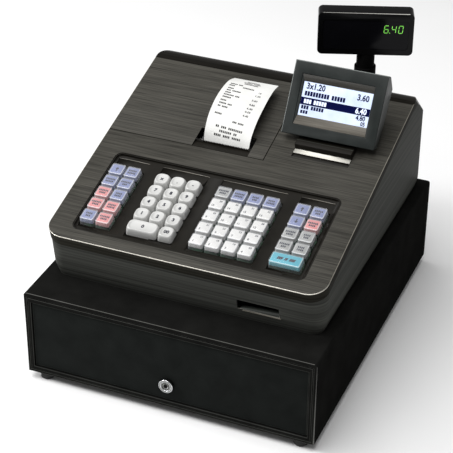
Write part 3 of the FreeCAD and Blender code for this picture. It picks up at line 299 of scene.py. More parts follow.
# painted highlights: a bright one for the front of the lip line, and a dimmer one for its sides and for thin
# lit ledges
plated("lip_highlight", linear(206, 202, 192), 0.34, (20, 900, 900))
moulded("dim_edge_highlight", linear(128, 124, 114), 0.35, grain=900)
plated("blade", linear(196, 196, 194), 0.28, (900, 40, 40))
moulded("print_ink", linear(34, 33, 33), 0.6)
moulded("key_ink", linear(8, 12, 40), 0.5, **MATT)
moulded("lcd_ink", linear(10, 14, 58), 0.5, **MATT)
glowing("lcd_white", linear(214, 224, 246), linear(226, 234, 252), 0.45)
glowing("lcd_glass", linear(186, 199, 226), linear(206, 217, 240), 0.4)
glowing("green_glow", linear(96, 186, 62), linear(132, 214, 84), 0.85)
clear_plastic("clear_cap", 0.03, 0.36)
# painted highlight: a whiter, more opaque clear plastic for the caps' lit edges
clear_plastic("cap_highlight", 0.5, 0.8)

paper = Look("paper", roughness=0.55)
paper.colour(paper.ramp(paper.noise((60, 60, 60), detail=4.0),
                        (0.3, linear(222, 222, 219)), (0.7, linear(234, 234, 231))))
paper.bump(paper.noise((1800, 1800, 1800), detail=3.0), 0.00002)

KEY_COLOURS = {"grey": (194, 194, 192), "white": (212, 211, 209), "blue": (106, 116, 160),
               "red": (204, 120, 120), "pale": (146, 147, 145), "cyan": (46, 158, 178)}
RIM_SHADE = 225
RIM_SHARE = 0.4
for word, shade in KEY_COLOURS.items():
    rim = [value * (1 - RIM_SHARE) + RIM_SHADE * RIM_SHARE for value in shade]
    for name, colour in ((f"key_{word}", shade), (f"rim_{word}", rim)):
        moulded(name, linear(*colour), 0.32, grain=700, depth=0.00002, spread=0.05)

floor_look = Look("floor", roughness=0.9)
floor_look.colour(floor_look.ramp(floor_look.noise((2, 2, 2)), (0.3, linear(250, 250, 250)),
                                  (0.7, linear(254, 254, 254))))


# -------------------- making pieces

def add_piece(name, form, looks, body, replaced=(), smooth=35):
    """Turn a bmesh into a piece that rides on body; looks are the names of its materials."""
    mesh = bpy.data.meshes.new(name)
    bmesh.ops.recalc_face_normals(form, faces=form.faces)
    form.to_mesh(mesh)
    form.free()
    for look in looks:
        mesh.materials.append(MATERIALS[look])
    for face in mesh.polygons:
        face.use_smooth = True
    mesh.set_sharp_from_angle(angle=math.radians(smooth))
    piece = bpy.data.objects.new(name, mesh)
    scene.collection.objects.link(piece)
    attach(piece, body)
    if replaced:
        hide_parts(*replaced)


FLAT = math.radians(0.6)


def node_form(node, cuts=()):
    """A CAD node's mesh with its triangles merged back into whole faces, which stay divided at X = cuts."""
    form = bmesh.new()
    form.from_mesh(frame["nodes"][node].data)
    bmesh.ops.remove_doubles(form, verts=form.verts, dist=WELD)
    for across in cuts:
        parted = bmesh.ops.bisect_plane(form, geom=form.verts[:] + form.edges[:] + form.faces[:], dist=WELD,
                                        plane_co=(across, 0, 0), plane_no=(1, 0, 0))
        for part in parted["geom_cut"]:
            if isinstance(part, bmesh.types.BMEdge):
                part.seam = True
    bmesh.ops.dissolve_limit(form, angle_limit=FLAT, verts=form.verts, edges=form.edges, delimit={"SEAM"})
    for face in form.faces:
        face.material_index = 0
    return form


def put_in_order(form):
    """Write form out and read it back, so that a bevel after another gives the same order in each run."""
    mesh = bpy.data.meshes.new("in_order")
    form.to_mesh(mesh)
    form.clear()
    form.from_mesh(mesh)
    bpy.data.meshes.remove(mesh)


def round_off(form, width, wanted=None, segments=2, angle=28, shortest=1.5, look=-1):
    """Round the sharp outer edges of form that wanted accepts; width and shortest are millimetres.

    The new faces take the material numbered look, or that of their neighbours for -1.
    """
    put_in_order(form)
    bmesh.ops.recalc_face_normals(form, faces=form.faces)
    chosen = [edge for edge in form.edges if len(edge.link_faces) == 2 and edge.is_convex
              and edge.calc_length() > shortest * MM
              and edge.calc_face_angle() > math.radians(angle)
              and (wanted is None or wanted(edge))]
    bmesh.ops.bevel(form, geom=chosen, offset=width * MM, segments=segments, profile=0.5, affect="EDGES",
                    clamp_overlap=False, material=look)


def away_from(look):
    """A test for edges that no face with the material numbered look touches."""
    return lambda edge: look not in [face.material_index for face in edge.link_faces]


def soften(node, width, looks=None, **options):
    """Replace a CAD node with the same shape with rounded edges."""
    form = node_form(node)
    round_off(form, width, **options)
    add_piece(f"{node}_finish", form, looks or [SLOT_OF[node]], BODY_OF[node], (node,))


def middle(item):
    """Middle of an edge or a face."""
    return sum((vert.co for vert in item.verts), Vector()) / len(item.verts)


# where flat things are drawn: each maps across, up and off (all in metres) to the row frame

FACE_ANGLE = math.radians(14.4)
FACE_ZERO = 0.22765
FACE_UP = Vector((0, math.cos(FACE_ANGLE), math.sin(FACE_ANGLE)))
FACE_OUT = Vector((0, -math.sin(FACE_ANGLE), math.cos(FACE_ANGLE)))


def on_face(across, up, off):
    """The sloping face of the cabinet."""
    return Vector((across, 0, FACE_ZERO)) + FACE_UP * up + FACE_OUT * off


def face_place(point):
    """The reverse of on_face."""
    apart = point - Vector((0, 0, FACE_ZERO))
    return Vector((point.x, apart.dot(FACE_UP), apart.dot(FACE_OUT)))


LEAN = math.radians(31.8)
LEAN_UP = Vector((0, math.sin(LEAN), math.cos(LEAN)))
LEAN_OUT = Vector((0, -math.cos(LEAN), math.sin(LEAN)))
DISPLAY_X = 0.0954
DISPLAY_FOOT = (0.0352, 0.2501)


def on_display(across, up, off):
    """The front plane of the operator's display."""
    return Vector((across, *DISPLAY_FOOT)) + LEAN_UP * up + LEAN_OUT * off


HEAD_TURN = Matrix.Rotation(math.radians(20), 3, "Z")
HEAD_PLACE = Vector((0.0925, 0.180, 0.301))
HEAD_FRONT = -0.011


def on_head(across, up, off):
    """The front of the customer's display."""
    return HEAD_PLACE + HEAD_TURN @ Vector((across, HEAD_FRONT - off, up))


def add_solid(form, points, faces):
    """Points and faces added to form; each face lists its points by number."""
    made = [form.verts.new(point) for point in points]
    for face in faces:
        form.faces.new([made[index] for index in face])


def add_prism(form, points):
    """Prism whose points are the outline of one end and then, in the same order, of the other."""
    count = len(points) // 2
    ends = [tuple(range(count))[::-1], tuple(range(count, 2 * count))]
    sides = [(i, (i + 1) % count, (i + 1) % count + count, i + count) for i in range(count)]
    add_solid(form, points, ends + sides)


PRINT_THICK = 0.05 * MM


def add_print(form, place, outline, across, up, off):
    """Thin flat print with the given outline round (across, up)."""
    add_prism(form, [place(across + x, up + y, off + z) for z in (0, PRINT_THICK) for x, y in outline])


def add_bar(form, place, across, up, width, height, off, slant=0.0):
    """A thin flat bar centred on (across, up); slant moves its top to the right and its foot to the left."""
    outline = [(-width / 2 - slant, -height / 2), (width / 2 - slant, -height / 2),
               (width / 2 + slant, height / 2), (-width / 2 + slant, height / 2)]
    add_print(form, place, outline, across, up, off)


GLYPH_THICK = 0.008
GLYPH_BOLD = 0.026
glyph_store = {}


def glyphs(text):
    """Points and faces of text at size 1, centred."""
    if text not in glyph_store:
        curve = bpy.data.curves.new("glyphs", "FONT")
        curve.body = text
        curve.align_x, curve.align_y = "CENTER", "CENTER"
        curve.resolution_u = 2
        curve.extrude = GLYPH_THICK
        curve.offset = GLYPH_BOLD
        holder = bpy.data.objects.new("glyphs", curve)
        scene.collection.objects.link(holder)
        bpy.context.view_layer.update()
        mesh = bpy.data.meshes.new_from_object(holder.evaluated_get(bpy.context.evaluated_depsgraph_get()))
        glyph_store[text] = ([vert.co.copy() for vert in mesh.vertices],
                             [tuple(face.vertices) for face in mesh.polygons])
        bpy.data.objects.remove(holder)
        bpy.data.curves.remove(curve)
        bpy.data.meshes.remove(mesh)
    return glyph_store[text]


def add_text(form, place, text, across, up, size, off, squeeze=1.0):
    """Numerals or signs of the given size, centred on (across, up); squeeze narrows them."""
    points, faces = glyphs(text)
    add_solid(form, [place(across + p.x * size * squeeze, up + p.y * size, off + p.z * size) for p in points],
              faces)


ARROW = [(-0.12, -0.5), (0.12, -0.5), (0.12, 0.05), (0.38, 0.05), (0, 0.5), (-0.38, 0.05), (-0.12, 0.05)]


def add_arrow(form, place, across, up, size, off, sign):
    """Small arrow that points up the face for sign 1 and down it for -1."""
    add_print(form, place, [(x * size, sign * y * size) for x, y in ARROW], across, up, off)


def ring_outline(half_x, half_y, radius, steps=5):
    """Counter-clockwise points of a rounded rectangle."""
    points = []
    for quarter, (sx, sy) in enumerate(((1, 1), (-1, 1), (-1, -1), (1, -1))):
        for step in range(steps + 1):
            angle = math.pi / 2 * (quarter + step / steps)
            points.append((sx * (half_x - radius) + radius * math.cos(angle),
                           sy * (half_y - radius) + radius * math.sin(angle)))
    return points


def add_stack(form, place, across, up, rings, look=0, side_look=None):
    """Closed form through rounded rectangles given as (half width, half height, radius, off) in mm."""
    loops = []
    for half_x, half_y, radius, off in rings:
        loops.append([form.verts.new(place(across + x * MM, up + y * MM, off * MM))
                      for x, y in ring_outline(half_x, half_y, radius)])
    for loop in (loops[0][::-1], loops[-1]):
        form.faces.new(loop).material_index = look
    for low, high in zip(loops, loops[1:]):
        count = len(low)
        for i in range(count):
            side = form.faces.new((low[i], low[(i + 1) % count], high[(i + 1) % count], high[i]))
            side.material_index = look if side_look is None else side_look


# -------------------- drawer

def case_front_edge(edge):
    """The front outline of the case, where its sheet folds round."""
    point = middle(edge)
    low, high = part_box("drawer_case")
    return point.y < low.y + 0.3 * MM and (abs(point.x) > high.x - 0.5 * MM or point.z > high.z - 0.5 * MM
                                           or point.z < low.z + 0.5 * MM)


def case_mouth_edge(edge):
    """The edges round the opening that the drawer slides out of."""
    return middle(edge).y < -0.19


def case_side_fold(edge):
    """The folds along the top of both sides."""
    return abs(middle(edge).x) > 0.177 and middle(edge).z > 0.115


case_form = node_form("drawer_case")
# painted highlight lines: a light grey on the front outline's bevel, and a grey paler than the paint on the
# bevels of the mouth and side folds
round_off(case_form, 1.1, case_front_edge, segments=3, look=1)
round_off(case_form, 0.4, case_mouth_edge, shortest=6, look=2)
round_off(case_form, 0.7, case_side_fold, shortest=6, look=2)
add_piece("drawer_case_finish", case_form, ["case_paint", "case_edge_highlight", "case_line_highlight"], "cabinet",
          ("drawer_case",))
# painted highlight line round the drawer front's rounded edge
soften("drawer_front", 0.7, ["front_paint", "panel_edge_highlight"], segments=3, shortest=3, look=1)
soften("drawer_pan", 0.4, shortest=4)
soften("till_insert", 0.5, shortest=4)
soften("coin_tray", 0.5, shortest=4)
for number in range(1, 5):
    soften(f"note_clip_{number}", 0.5, shortest=3)
soften("rubber_feet", 1.2, segments=3, shortest=0.2, angle=60)
soften("lock_barrel", 0.9, ["lock_metal", "chrome"], segments=3, shortest=0.2, angle=60, look=1)
soften("lock_plug", 0.35, ["lock_metal", "steel"], shortest=0.2, angle=60, look=1)

LOCK_FACE = -214.9
LOCK_HEIGHT = 41
RING_BACK = 0.02
DEGREES_PER_STEP = 12


def add_ring(form, radius, inner, front, turn, sweep, look):
    """Flat ring on the lock's face, in mm; with a sweep below 360 degrees an arc that starts at turn."""
    steps = sweep // DEGREES_PER_STEP
    closed = sweep == 360
    loops = []
    for reach, off in ((radius, RING_BACK), (radius, front), (inner, front), (inner, RING_BACK)):
        angles = [math.radians(turn + sweep * i / steps) for i in range(steps if closed else steps + 1)]
        loops.append([form.verts.new(Vector((reach * math.cos(angle), LOCK_FACE - off,
                                             LOCK_HEIGHT + reach * math.sin(angle))) * MM)
                      for angle in angles])
    count = len(loops[0])
    for low, high in zip(loops, loops[1:] + loops[:1]):
        for i in range(count if closed else count - 1):
            j = (i + 1) % count
            form.faces.new((low[i], low[j], high[j], high[i])).material_index = look
    if not closed:
        for end in (0, -1):
            form.faces.new([loop[end] for loop in loops]).material_index = look


# painted shade and highlight on the lock's face: flat dark rings stand for the keyway's opening and a groove
# round it, and a chrome arc on its lower right is a painted glint
painted_lock_marks = bmesh.new()
add_ring(painted_lock_marks, 2.6, 0.9, 0.3, 0, 360, 0)
add_ring(painted_lock_marks, 4.5, 4.0, 0.25, 0, 360, 0)
add_ring(painted_lock_marks, 3.3, 2.7, 0.4, -80, 90, 1)
add_piece("lock_painted_shade_and_glint", painted_lock_marks, ["gloss_black", "chrome"], BODY_OF["lock_plug"])


# -------------------- cabinet

FACE_END = 0.1365
FACE_LOOKS = ["face_plastic", "crest_plastic", "band_painted_shade", "lip_highlight", "dim_edge_highlight"]
ON_FACE, ON_CREST, ON_BAND, ON_FRONT_HIGHLIGHT, ON_SIDE_HIGHLIGHT = range(5)
LIP_SIDE = 0.1686
LIP_FRONT = -0.1767
LIP_CORNER = 0.022
SEAM_X = 0.0298
SEAM_Y = 0.0012


def is_face(face):
    """True for the brushed sloping face, below the crest."""
    return face.normal.dot(FACE_OUT) > 0.985 and middle(face).y < FACE_END and \
        face_place(middle(face)).z > -1.0 * MM


def is_crest(face):
    """True for the glossy crest behind the sloping face."""
    return middle(face).z > 0.225 and middle(face).y > 0.12 and face.normal.z > 0.2 and not is_face(face)


def on_outline(point):
    """True on the outer edge of the cabinet's lip, away from openings and seams."""
    place = face_place(point)
    front = LIP_FRONT / math.cos(FACE_ANGLE)
    if abs(place.x) > LIP_SIDE - 0.8 * MM or place.y < front + 0.8 * MM:
        return True
    corner = Vector((abs(place.x) - (LIP_SIDE - LIP_CORNER), place.y - (front + LIP_CORNER)))
    return corner.x > -0.5 * MM and corner.y < 0 and corner.length > LIP_CORNER - 0.8 * MM


def at_lip(edge):
    """Edges between the face and the band below it."""
    others = [face for face in edge.link_faces if not is_face(face)]
    return len(others) == 1 and others[0].normal.z < 0.35 and on_outline(middle(edge))


def at_seam(edge):
    """Edges of the face along the gap between the top and the printer's cover."""
    point = middle(edge)
    near = abs(point.x - SEAM_X) < 0.5 * MM or abs(point.y - SEAM_Y) < 0.5 * MM
    return near and [is_face(face) for face in edge.link_faces].count(True) == 1


def top_shell(node):
    """Face, crest and side band of the upper cabinet, with the band painted darker as shade, and a painted
    highlight line round the lip that is brighter at the front than on the sides.
    """
    form = node_form(node)
    form.normal_update()
    round_off(form, 0.45, at_seam, shortest=5, angle=40, look=ON_BAND)
    round_off(form, 0.65, at_lip, segments=3, shortest=0.1, angle=20, look=ON_FRONT_HIGHLIGHT)
    form.normal_update()
    # painted highlight on the lip's bevel, brighter at the front than on the sides; painted shade: the band
    # and the seam's bevels take the darker band colour
    for face in form.faces:
        if face.material_index == ON_FRONT_HIGHLIGHT:
            face.material_index = ON_FRONT_HIGHLIGHT if middle(face).y < -0.155 else ON_SIDE_HIGHLIGHT
        else:
            face.material_index = ON_FACE if is_face(face) else ON_CREST if is_crest(face) else ON_BAND
    return form


for node in ("top_cabinet", "printer_cover"):
    add_piece(f"{node}_finish", top_shell(node), FACE_LOOKS, BODY_OF[node], (node,))


def slot_rim(edge):
    """The lower and right edges of the card slot's mouth."""
    point = middle(edge)
    return point.y < -0.15 and 0.065 < point.x < 0.117 and 0.134 < point.z < 0.149 and \
        (point.z < 0.1355 or point.x > 0.1155)


lower_form = node_form("lower_cabinet")
# painted highlight on the lower and right edges of the slot's mouth
round_off(lower_form, 0.5, slot_rim, look=1)
add_piece("lower_cabinet_finish", lower_form, ["cabinet_plastic", "bezel_edge_highlight"], "cabinet",
          ("lower_cabinet",))

# lining of the card slot: its floor climbs to the right, and a ledge with a painted highlight runs below it
LINING = ((68.6, -165.0, 135.05), (115.8, -165.0, 135.05), (115.8, -160, 135.05), (68.6, -160, 135.05),
          (69.6, -164.6, 136.1), (115.8, -164.6, 139.6), (115.8, -160, 141.2), (72, -160, 137.2))
LEDGE = ((72, -165.3, 133.0), (118, -165.3, 132.9), (118, -164.2, 132.9), (72, -164.2, 133.0),
         (73, -165.5, 133.9), (118, -165.6, 134.4), (118, -164.2, 134.4), (73, -164.2, 133.9))
for name, corners, width, look in (("card_slot_lining", LINING, 0.3, "slot_lining"),
                                   ("card_slot_ledge", LEDGE, 0.25, "dim_edge_highlight")):
    form = bmesh.new()
    add_prism(form, [Vector(corner) * MM for corner in corners])
    round_off(form, width)
    add_piece(name, form, [look], "cabinet")


# -------------------- keyboard

KEY_BLOCKS = (-0.1167, -0.05, 0.0364, 0.1133)
BLOCK_TOP = -0.0403


def block_top_edge(edge):
    """The far edge of the shallow recess that each block of keys sits in."""
    place = face_place(middle(edge))
    along = edge.verts[0].co - edge.verts[1].co
    return abs(place.y - BLOCK_TOP) < 1.2 * MM and -3.5 * MM < place.z < -2.5 * MM and abs(along.x) > 8 * MM


# divided at the middle of each block, so that no face spans the whole row of recesses
bezel_form = node_form("keyboard_bezel", KEY_BLOCKS)
# painted highlight line along the far top edge of each block's recess
round_off(bezel_form, 0.6, block_top_edge, look=1)
round_off(bezel_form, 0.3, lambda edge: not block_top_edge(edge) and away_from(1)(edge), shortest=6)
add_piece("keyboard_bezel_finish", bezel_form, ["bezel_plastic", "bezel_edge_highlight"], "cabinet",
          ("keyboard_bezel",))

# outlines of one key from low to high, as add_stack takes them
CLEAR_RINGS = [(9.1, 9.1, 2.2, -5.4), (8.72, 8.72, 2.1, -1.0), (8.22, 8.22, 2.0, 4.3), (8.0, 8.0, 1.9, 4.8),
               (7.6, 7.6, 1.7, 5.0)]
CLEAR_INSIDE = [(7.7, 7.7, 1.6, 4.55), (7.95, 7.95, 1.7, 4.2), (8.5, 8.5, 1.9, -1.0), (8.85, 8.85, 2.0, -5.4)]
INSERT_RINGS = [(8.4, 8.4, 1.9, -1.6), (8.4, 8.4, 1.9, -0.9), (7.95, 7.95, 1.8, 2.2), (7.7, 7.7, 1.7, 3.4),
                (6.9, 6.9, 1.4, 4.05), (6.5, 6.5, 1.2, 4.2)]
DOME_RINGS = [(8.9, 8.9, 2.6, -5.4), (8.75, 8.75, 3.0, -2.6), (8.5, 8.5, 4.0, 0.8), (8.25, 8.25, 5.0, 3.0),
              (7.9, 7.9, 5.7, 4.3), (7.5, 7.5, 6.1, 4.85), (7.0, 7.0, 6.1, 4.95), (6.5, 6.5, 5.9, 4.75),
              (5.8, 5.8, 5.4, 4.25), (4.2, 4.2, 4.0, 3.98), (2.2, 2.2, 2.1, 3.85), (0.7, 0.7, 0.6, 3.82)]


def widened(rings, extra):
    """The same rings, wider by extra millimetres on each side."""
    return [(half_x + extra, half_y, radius, off) for half_x, half_y, radius, off in rings]


KEY_HALF = 9.1
KEY_PITCH = 0.0195
FIRST_ROW = -0.0654


def key_places(node):
    """(across, up, extra half width in mm, row) of each key of a node, from its CAD mesh."""
    form = bmesh.new()
    form.from_mesh(frame["nodes"][node].data)
    bmesh.ops.remove_doubles(form, verts=form.verts, dist=WELD)
    left, places = set(form.verts), []
    while left:
        group, stack = [], [next(iter(left))]
        left.discard(stack[0])
        while stack:
            vert = stack.pop()
            group.append(face_place(vert.co))
            for edge in vert.link_edges:
                other = edge.other_vert(vert)
                if other in left:
                    left.discard(other)
                    stack.append(other)
        xs, ys = [p.x for p in group], [p.y for p in group]
        extra = (max(xs) - min(xs)) / 2 / MM - KEY_HALF
        across, up = (max(xs) + min(xs)) / 2, (max(ys) + min(ys)) / 2
        places.append((across, up, max(extra, 0), round((FIRST_ROW - up) / KEY_PITCH)))
    form.free()
    return sorted(places, key=lambda place: (place[3], place[0]))


INSERT_COLOURS = {
    "keys_left_1": ["blue", "blue", "red", "red", "blue"],
    "keys_left_2": ["blue", "blue", "blue", "red", "red"],
    "keys_department_1": ["pale", "white", "white", "white", "white"],
    "keys_department_2": ["blue", "white", "white", "white", "white"],
    "keys_department_3": ["blue", "white", "white", "white", "white"],
    "keys_department_4": ["blue", "white", "white", "white", "white"],
    "keys_right_1": ["blue", "blue", "pale", "pale"],
    "keys_right_2": ["blue", "red", "pale", "pale"],
    "key_total": ["cyan"],
}
TOP_SIGNS = ["x", ".", "-"]
INK_LIFT = 4.24 * MM
DISH_LIFT = 4.05 * MM
# (across, up, size, added number) of the two figures on a department key, in mm from its middle
CORNER_FIGURES = ((-3.9, -3.6, 4.0, 0), (3.4, 4.0, 3.6, 16))
ARROW_SIZE = 6.5 * MM
FIGURE_SIZE = 6.6 * MM
TOTAL_BARS = ((-7.2, 6.2), (0.0, 3.4), (7.2, 6.6))
TOTAL_HEIGHT = 4.0 * MM
KEY_LETTER = (1.5, 0.5, 2.7)
LABEL_TOP = 2.0
LABEL_PITCH = 3.9


def add_letters(form, place, left, up, count, off, letter):
    """A word of count plain upright blocks; all but off is in mm, and letter is (width, gap, height)."""
    width, gap, height = letter
    for number in range(count):
        across = left + number * (width + gap) + width / 2
        add_bar(form, place, across * MM, up * MM, width * MM, height * MM, off)
    return left + count * (width + gap)


def label_bars(form, across, up, seed):
    """Two short rows of blocks in place of a printed word."""
    dice = random.Random(seed)
    for row in (0, 1):
        count = dice.randint(4, 6) - row
        left = across / MM - count * (KEY_LETTER[0] + KEY_LETTER[1]) / 2
        add_letters(form, on_face, left, up / MM + LABEL_TOP - LABEL_PITCH * row, count, INK_LIFT, KEY_LETTER)


HIGHLIGHT_FROM = 5.5
HIGHLIGHT_LOOPS = (2, 3)


def add_clear_cap(form, across, up, extra):
    """Hollow clear cap over one key, with a painted highlight along the right and front edges of its top."""
    shell = widened(CLEAR_RINGS, extra)
    loops = []
    for half_x, half_y, radius, off in shell + widened(CLEAR_INSIDE, extra):
        loops.append([form.verts.new(on_face(across + x * MM, up + y * MM, off * MM))
                      for x, y in ring_outline(half_x, half_y, radius)])
    count = len(loops[0])
    top = len(shell) - 1
    form.faces.new(loops[top])
    form.faces.new(loops[top + 1][::-1])
    pairs = [(i, i + 1) for i in range(len(loops) - 1) if i != top] + [(len(loops) - 1, 0)]
    for low, high in pairs:
        for i in range(count):
            side = form.faces.new((loops[low][i], loops[low][(i + 1) % count],
                                   loops[high][(i + 1) % count], loops[high][i]))
            place = face_place(middle(side))
            # painted highlight: side faces on the right and front of the top, in the chosen loops, take the
            # paler and more opaque clear plastic
            pale = place.x - across > (HIGHLIGHT_FROM + extra) * MM or place.y - up < -HIGHLIGHT_FROM * MM
            side.material_index = 1 if pale and low in HIGHLIGHT_LOOPS else 0


def add_key_mark(form, node, colour, row, across, up):
    """What is printed on one insert: figures, an arrow or plain blocks."""
    if colour == "white":
        number = int(node[-1]) + 4 * (4 - row)
        for x, y, size, more in CORNER_FIGURES:
            add_text(form, on_face, str(number + more), across + x * MM, up + y * MM, size * MM, INK_LIFT)
    elif node == "keys_right_1" and row < 2 or node == "keys_left_1" and row == 0:
        add_arrow(form, on_face, across, up, ARROW_SIZE, INK_LIFT, 1 if row == 0 else -1)
    elif node == "key_total":
        for x, width in TOTAL_BARS:
            add_bar(form, on_face, across + x * MM, up, width * MM, TOTAL_HEIGHT, INK_LIFT, slant=0.6 * MM)
    else:
        label_bars(form, across, up, f"{node}{row}")


def clear_keys(node, colours):
    """Clear caps over coloured inserts with printed marks."""
    caps, inserts, marks = bmesh.new(), bmesh.new(), bmesh.new()
    used = sorted(set(colours))
    for (across, up, extra, row), colour in zip(key_places(node), colours):
        add_clear_cap(caps, across, up, extra)
        look = used.index(colour)
        add_stack(inserts, on_face, across, up, widened(INSERT_RINGS, extra), look, look + len(used))
        add_key_mark(marks, node, colour, row, across, up)
    body, slot = BODY_OF[node], SLOT_OF[node]
    looks = [f"{part}_{colour}" for part in ("key", "rim") for colour in used]
    add_piece(f"{node}_inserts", inserts, looks, body, (node,))
    add_piece(f"{node}_caps", caps, ["clear_cap", "cap_highlight"], body)
    add_piece(f"{node}_marks", marks, ["key_ink"], body)


def grey_keys(node):
    """Rounded light grey keys with dished tops and moulded-in numerals."""
    keys, marks = bmesh.new(), bmesh.new()
    for number, (across, up, extra, _) in enumerate(key_places(node)):
        add_stack(keys, on_face, across, up, widened(DOME_RINGS, extra))
        sign = TOP_SIGNS[number] if node == "keys_digit_top" else node[4:]
        add_text(marks, on_face, sign, across, up + 0.3 * MM, FIGURE_SIZE, DISH_LIFT)
    add_piece(f"{node}_finish", keys, ["key_grey"], BODY_OF[node], (node,), smooth=50)
    add_piece(f"{node}_marks", marks, ["key_ink"], BODY_OF[node])


for node in sorted(BODY_OF):
    if node in INSERT_COLOURS:
        clear_keys(node, INSERT_COLOURS[node])
    elif SLOT_OF[node] == "key_grey":
        grey_keys(node)


# -------------------- printer

soften("paper_cutter", 0.15, shortest=3)

# toothed blade that shows on either side of the paper
blade = bmesh.new()
TOOTH = 1.5
BLADE_UP = (12.9, 13.4)
for start, count in ((-60.3, 6), (6.6, 2)):
    for number in range(count):
        left = start + number * TOOTH
        right = left + TOOTH
        outline = [(left, -2.5), (right, -2.5), (right, 0.6), (left + TOOTH / 2, 1.9), (left, 0.6)]
        add_prism(blade, [on_face(x * MM, up * MM, off * MM) for up in BLADE_UP for x, off in outline])
add_piece("cutter_blade", blade, ["blade"], "printer_lid")

# side views of the receipt's two edges from the throat to the tip, as (Y, Z) in mm
STRIP_LEFT = [(15.2, 229), (18.5, 243), (27, 255), (38, 263), (52, 269.2), (70, 272.8), (92, 273),
              (111.2, 267.5)]
STRIP_RIGHT = [(15.2, 229), (20, 238.5), (30, 247.5), (43, 254.8), (59, 260.8), (77, 266.2), (95, 269.2),
               (110.9, 268.3)]


def through(points, share):
    """Smooth curve through points; share runs from 0 to 1."""
    spans = len(points) - 1
    index = min(int(share * spans), spans - 1)
    t = share * spans - index
    knots = [points[max(index - 1, 0)], points[index], points[index + 1], points[min(index + 2, spans)]]
    found = []
    for a, b, c, d in zip(*knots):
        found.append(0.5 * (2 * b + (c - a) * t + (2 * a - 5 * b + 4 * c - d) * t * t
                            + (3 * b - a - 3 * c + d) * t * t * t))
    return found


STRIP_X = (-51.05, 6.25)
STRIP_MIDDLE = -22.4
STRIP_STEPS = 400
STRIP_THICK = 0.12 * MM
SHARE_STEP = 0.002


def strip_point(across, share):
    """Point of the receipt at X = across in mm; share runs from 0 at the throat to 1 at the tip."""
    left, right = through(STRIP_LEFT, share), through(STRIP_RIGHT, share)
    t = (across - STRIP_X[0]) / (STRIP_X[1] - STRIP_X[0])
    return Vector((across, left[0] + (right[0] - left[0]) * t, left[1] + (right[1] - left[1]) * t)) * MM


strip_lengths = [0.0]
for step in range(STRIP_STEPS):
    ends = [strip_point(STRIP_MIDDLE, (step + more) / STRIP_STEPS) for more in (0, 1)]
    strip_lengths.append(strip_lengths[-1] + (ends[1] - ends[0]).length)


def on_strip(across, along, off):
    """The receipt: across is the row frame's X, along is measured from the throat."""
    low = max(i for i, length in enumerate(strip_lengths[:-1]) if length <= max(along, 0))
    share = (low + (along - strip_lengths[low]) / (strip_lengths[low + 1] - strip_lengths[low])) / STRIP_STEPS
    share = min(max(share, 0.0), 1.0)
    here = strip_point(across / MM, share)
    ahead = (strip_point(across / MM, min(share + SHARE_STEP, 1.0))
             - strip_point(across / MM, max(share - SHARE_STEP, 0.0)))
    beside = strip_point(STRIP_X[1], share) - strip_point(STRIP_X[0], share)
    return here + beside.cross(ahead).normalized() * off


def receipt_strip():
    """The curled strip of paper."""
    length = strip_lengths[-1]
    rows, columns = 72, 8
    paper = bmesh.new()
    sides = []
    for off in (0.0, -STRIP_THICK):
        sides.append([[paper.verts.new(on_strip((STRIP_X[0] + (STRIP_X[1] - STRIP_X[0]) * c / columns) * MM,
                                                length * r / rows, off))
                       for c in range(columns + 1)] for r in range(rows + 1)])
    top, under = sides
    for r in range(rows):
        for c in range(columns):
            paper.faces.new((top[r][c], top[r][c + 1], top[r + 1][c + 1], top[r + 1][c]))
            paper.faces.new((under[r][c], under[r + 1][c], under[r + 1][c + 1], under[r][c + 1]))
        for c in (0, columns):
            paper.faces.new((top[r][c], top[r + 1][c], under[r + 1][c], under[r][c]))
    for r in (0, rows):
        for c in range(columns):
            paper.faces.new((top[r][c], under[r][c], under[r][c + 1], top[r][c + 1]))
    add_piece("receipt_strip", paper, ["paper"], "printer_lid", ("receipt_paper",), smooth=60)


# what is printed, in mm: (down from the tip, in from the left edge, letters in each word)
HEADING = ((9, (9,)), (13, (6, 5)), (17, (10,)))
ITEMS = ((23, 5, (5, 3)), (27, 22, (8,)), (27, 5, (4,)), (33, 6, (4,)), (37.5, 6, (3, 6)), (42, 6, (4,)),
         (46.5, 6, (7, 3)), (51, 6, (6,)), (57, 6, (4,)), (62, 6, (5, 3)), (67, 6, (2, 4)), (78, 6, (5,)),
         (84, 30, (3, 4)))
PRICES = ((31, "15"), (37.5, "1.20"), (46.5, "3.60"), (54, "4.80"), (60.5, "6.40"), (66, "0.05"),
          (72, "6.45"))
GREETING = ((93.5, (2, 3, 8)), (98.5, (7, 2)), (103.5, (4, 4, 5)))
SMALL_LETTER = (1.35, 0.4, 2.3)
LARGE_LETTER = (1.6, 0.6, 2.7)
SMALL_SPACE = 1.6
LARGE_SPACE = 2.4
PRICE_IN = 11
PRICE_DRIFT = 0.06
PRICE_SIZE = 4.0 * MM


def receipt_print():
    """The numerals, and the blocks in place of words, that are printed on the receipt."""
    ink = bmesh.new()
    length = strip_lengths[-1]
    low, high = STRIP_X

    def row(down, left, counts, letter, space):
        """One row of words, the first of which starts at left."""
        for count in counts:
            left = add_letters(ink, on_strip, left, length / MM - down, count, 0.03 * MM, letter) + space

    def centred_row(down, counts, letter, space):
        """One row of words in the middle of the strip."""
        across = sum(counts) * (letter[0] + letter[1]) + (len(counts) - 1) * space
        row(down, STRIP_MIDDLE - across / 2, counts, letter, space)

    for down, counts in HEADING:
        centred_row(down, counts, SMALL_LETTER, SMALL_SPACE)
    for down, shift, counts in ITEMS:
        row(down, low + shift, counts, SMALL_LETTER, SMALL_SPACE)
    for down, price in PRICES:
        across = high - PRICE_IN - down * PRICE_DRIFT
        add_text(ink, on_strip, price, across * MM, length - down * MM, PRICE_SIZE, 0.04 * MM)
    for down, counts in GREETING:
        centred_row(down, counts, LARGE_LETTER, LARGE_SPACE)
    add_piece("receipt_print", ink, ["print_ink"], "printer_lid")


